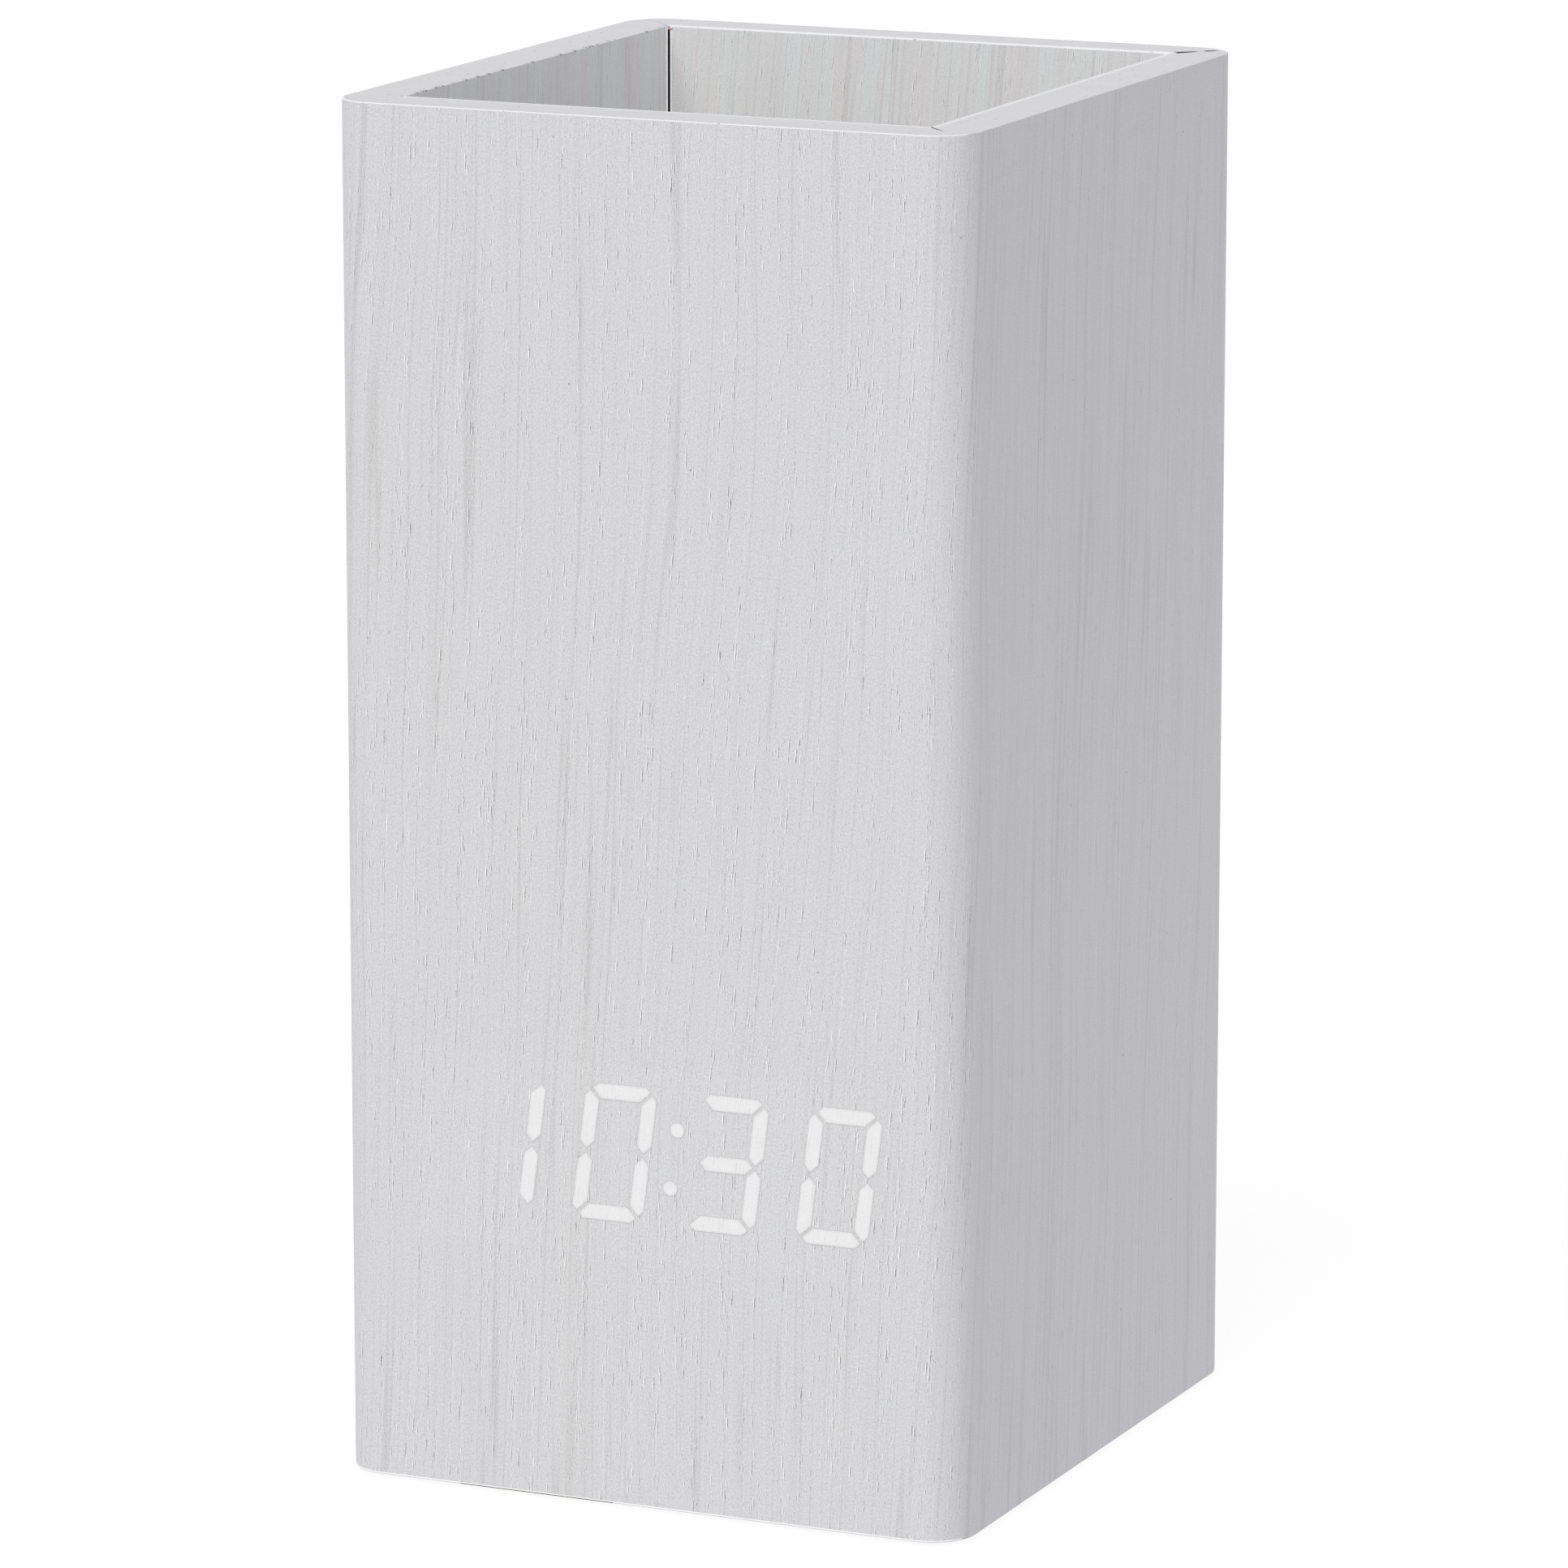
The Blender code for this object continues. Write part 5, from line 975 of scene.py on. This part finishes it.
def make_screws():
    """Each screw stands where its solid does; the head's seat is found from the solid's box."""
    axes = {
        "base_screw": ((0, 0, 1), 4),
        "panel_screw": ((0, 1, 0), 4),
        "board_screw": ((0, 1, 0), 2),
        "display_screw": ((0, -1, 0), 2),
    }
    for kind, (axis, count) in axes.items():
        for number in range(1, count + 1):
            node = f"{kind}_{number}"
            low, high = corners_of(node)
            along = Vector(axis)
            span = abs((high - low).dot(along))
            middle = (low + high) / 2
            seat = middle - along * (span / 2 - HEAD_HEIGHT * MM)
            place = axis_place(seat, axis) @ Matrix.Rotation(0.5 * number, 4, "Z")
            mesh = screw_mesh(place, span / MM - HEAD_HEIGHT)
            piece(f"{node}_cross_head", mesh, replaced=(node,), crisp=32)


def make_feet():
    """Soft rubber discs with a shallow hollow in the middle of the sole."""
    for node in ("foot_front_left", "foot_front_right", "foot_rear_left", "foot_rear_right"):
        low, high = corners_of(node)
        at = Vector(((low.x + high.x) / 2, (low.y + high.y) / 2, 0))
        top = high.z / MM
        profile = [
            (0.0, 0.12), (1.5, 0.12), (1.62, 0.02), (1.75, 0.0), (3.3, 0.0), (3.62, 0.05), (3.86, 0.2),
            (3.97, 0.42), (4.0, 0.7), (4.0, top), (0.0, top),
        ]
        shape = lathe(profile, axis_place(at, (0, 0, 1)))
        piece(f"{node}_pad", finished(shape, RUBBER), replaced=(node,), crisp=45)


def make_cells():
    """Cells with a sleeve that stops short of both ends, a seal ring, and a stepped positive end."""
    for number in (1, 2, 3):
        node = f"battery_cell_{number}"
        low, high = corners_of(node)
        forward = -1 if number % 2 else 1
        length = (high.x - low.x) / MM
        middle = (low + high) / 2
        at = middle - Vector((forward * length / 2 * MM, 0, 0))
        body = length - 0.9
        profile = [
            (0.0, 0.12), (3.0, 0.12), (3.3, 0.02), (4.4, 0.0), (4.85, 0.18), (5.0, 0.45), (5.05, 0.7),
            (5.22, 0.74), (5.25, 0.9), (5.25, body - 0.8), (5.22, body - 0.62), (5.05, body - 0.58),
            (5.0, body - 0.3), (4.75, body - 0.04), (4.3, body), (3.2, body - 0.05), (3.0, body - 0.25),
            (2.1, body - 0.25), (1.9, body - 0.1), (1.9, length - 0.15), (1.75, length), (0.0, length),
        ]
        sleeve, steel, seal = range(3)
        looks = [steel] * 6 + [sleeve] * 5 + [steel] * 3 + [seal] * 3 + [steel] * 4
        shape = lathe(profile, axis_place(at, (forward, 0, 0)), 56, looks)
        mesh = finished(shape, JACKET, STEEL, SEAL)
        piece(f"{node}_sleeved", mesh, replaced=(node,), crisp=38)


def make_springs():
    """Conical coils of round wire, whose first turn lies flat on the plate."""
    for number in (1, 2, 3):
        node = f"cell_spring_{number}"
        low, high = corners_of(node)
        side = -1 if number % 2 else 1
        wire = 0.24 * MM
        wide_x = low.x + wire if side > 0 else high.x - wire
        run = (high.x - low.x) - 2 * wire
        middle = (low + high) / 2
        curve = bpy.data.curves.new(f"{node}_coil", "CURVE")
        curve.dimensions = "3D"
        curve.bevel_depth = wire
        curve.bevel_resolution = 3
        curve.use_fill_caps = True
        spline = curve.splines.new("POLY")
        turns, closed, steps = 4.3, 0.9, 172
        foot, narrowing = 3.55, 1.5
        points = []
        for step in range(steps + 1):
            share = step / steps
            travel = max(0.0, share * turns - closed) / (turns - closed)
            radius = (foot - narrowing * travel) * MM
            angle = 2 * math.pi * turns * share
            x = wide_x + side * run * travel
            points.append((x, middle.y + radius * math.cos(angle), middle.z + radius * math.sin(angle)))
        spline.points.add(len(points) - 1)
        for point, place in zip(spline.points, points):
            point.co = (*place, 1.0)
        curve.materials.append(SPRING)
        item = placed(f"{node}_coil", curve)
        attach(item, "clock_body")
        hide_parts(node)


def make_door_arrow():
    """A raised arrow on the battery door that points to its latch."""
    low, _ = corners_of("battery_door")
    outline = [(0.0, 3.0), (-2.4, 0.0), (-0.9, 0.0), (-0.9, -3.0), (0.9, -3.0), (0.9, 0.0), (2.4, 0.0)]
    place = Matrix.Translation((0, 0.5 * MM, low.z)) @ Matrix.Diagonal((1, 1, -1, 1))
    shape = prism([(x * MM, y * MM) for x, y in outline], -0.2 * MM, 0.3 * MM, place)
    piece("door_arrow", finished(shape, MOULDED), "battery_door", crisp=30)


make_screws()
make_feet()
make_cells()
make_springs()
make_door_arrow()


# Finishes of the solids that stay as they are


FINISHES = (
    (FLOOR, "cup_floor"),
    (BATTEN, "front_cleat rear_cleat"),
    (MOULDED, "base_plate battery_door control_panel"),
    (REFLECTOR, "display_reflector"),
    (DIFFUSER, "diffuser_sheet"),
    (DISPLAY_CIRCUIT, "display_board"),
    (MAIN_CIRCUIT, "main_board"),
    (BLACK, "set_switch up_switch down_switch set_plunger up_plunger down_plunger"),
    (BLACK, "power_jack alarm_buzzer backup_cell_holder"),
    (CHIP, "clock_chip"),
    (COIN, "backup_cell"),
    (NICKEL, "timing_crystal contact_positive contact_negative contact_link_left contact_link_right"),
    (RED, "battery_lead_red"),
    (DARK, "battery_lead_black"),
    (RIBBON, "ribbon_cable"),
)

for look, nodes in FINISHES:
    for solid in (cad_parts[node] for node in nodes.split()):
        for material_slot in solid.material_slots:
            material_slot.material = look


# Floor, light and camera


def seen_by(tree, *kinds):
    """1 for rays of the given kinds, and 0 for all others"""
    path = add_node(tree, "LightPath")
    share = path[f"Is {kinds[0]} Ray"]
    for kind in kinds[1:]:
        both = {0: share, 1: path[f"Is {kind} Ray"]}
        share = add_node(tree, "Math", both, operation="MAXIMUM")[0]
    return share


def studio_floor():
    """A floor that looks white from above, and lets light and views from below through."""
    shape = bmesh.new()
    bmesh.ops.create_grid(shape, x_segments=8, y_segments=8, size=3.0)
    mesh = bpy.data.meshes.new("studio_floor")
    shape.to_mesh(mesh)
    shape.free()
    look = bpy.data.materials.new("studio_floor")
    look.use_nodes = True
    tree = look.node_tree
    tree.nodes.clear()
    rays = {0: seen_by(tree, "Camera", "Glossy"), 1: add_node(tree, "NewGeometry")["Backfacing"]}
    above = add_node(tree, "Math", rays, operation="SUBTRACT", use_clamp=True)[0]
    plain = add_node(tree, "BsdfTransparent")[0]
    faint = add_node(tree, "BsdfDiffuse", {"Color": (0.09, 0.09, 0.09, 1.0)})[0]
    white = add_node(tree, "Emission", {"Strength": 0.93})[0]
    both = add_node(tree, "AddShader", {0: faint, 1: white})[0]
    choose = add_node(tree, "MixShader", {0: above, 1: plain, 2: both})[0]
    add_node(tree, "OutputMaterial", {0: choose})
    mesh.materials.append(look)
    placed("studio_floor", mesh)


def studio_light():
    """A plain world that is white to the camera, and one soft lamp from above the front."""
    world = bpy.data.worlds.new("studio")
    world.use_nodes = True
    tree = world.node_tree
    seen = seen_by(tree, "Camera", "Glossy", "Transmission")
    strength = add_node(tree, "MapRange", {"Value": seen, "To Min": FILL, "To Max": BACKDROP})[0]
    colours = {"Factor": seen, 6: (0.983, 0.98, 1.055, 1.0), 7: (1.0, 1.0, 1.0, 1.0)}
    background = tree.nodes["Background"].inputs
    put(tree, background["Color"], add_node(tree, "Mix", colours, data_type="RGBA")[2])
    put(tree, background["Strength"], strength)
    bpy.context.scene.world = world
    lamp = bpy.data.lights.new("key", "SUN")
    lamp.energy = KEY
    lamp.angle = 0.7
    lamp.color = (1.0, 1.0, 0.945)
    towards = Vector((-0.05, -0.62, 0.78))
    placed("key", lamp).rotation_euler = towards.to_track_quat("Z", "Y").to_euler()


def camera():
    """The photo's camera, as fitted to the corners of the case in the photo."""
    lens = bpy.data.cameras.new("photo_camera")
    lens.lens = 202.9038
    lens.sensor_width = 36.0
    lens.clip_start = 0.01
    item = placed("photo_camera", lens)
    item.location = (0.3693183, -0.8322413, 0.2610612)
    item.rotation_euler = (math.radians(78.106), 0.0, math.radians(23.9922))
    bpy.context.scene.camera = item


studio_floor()
studio_light()
camera()
bpy.context.scene.view_settings.view_transform = "Standard"
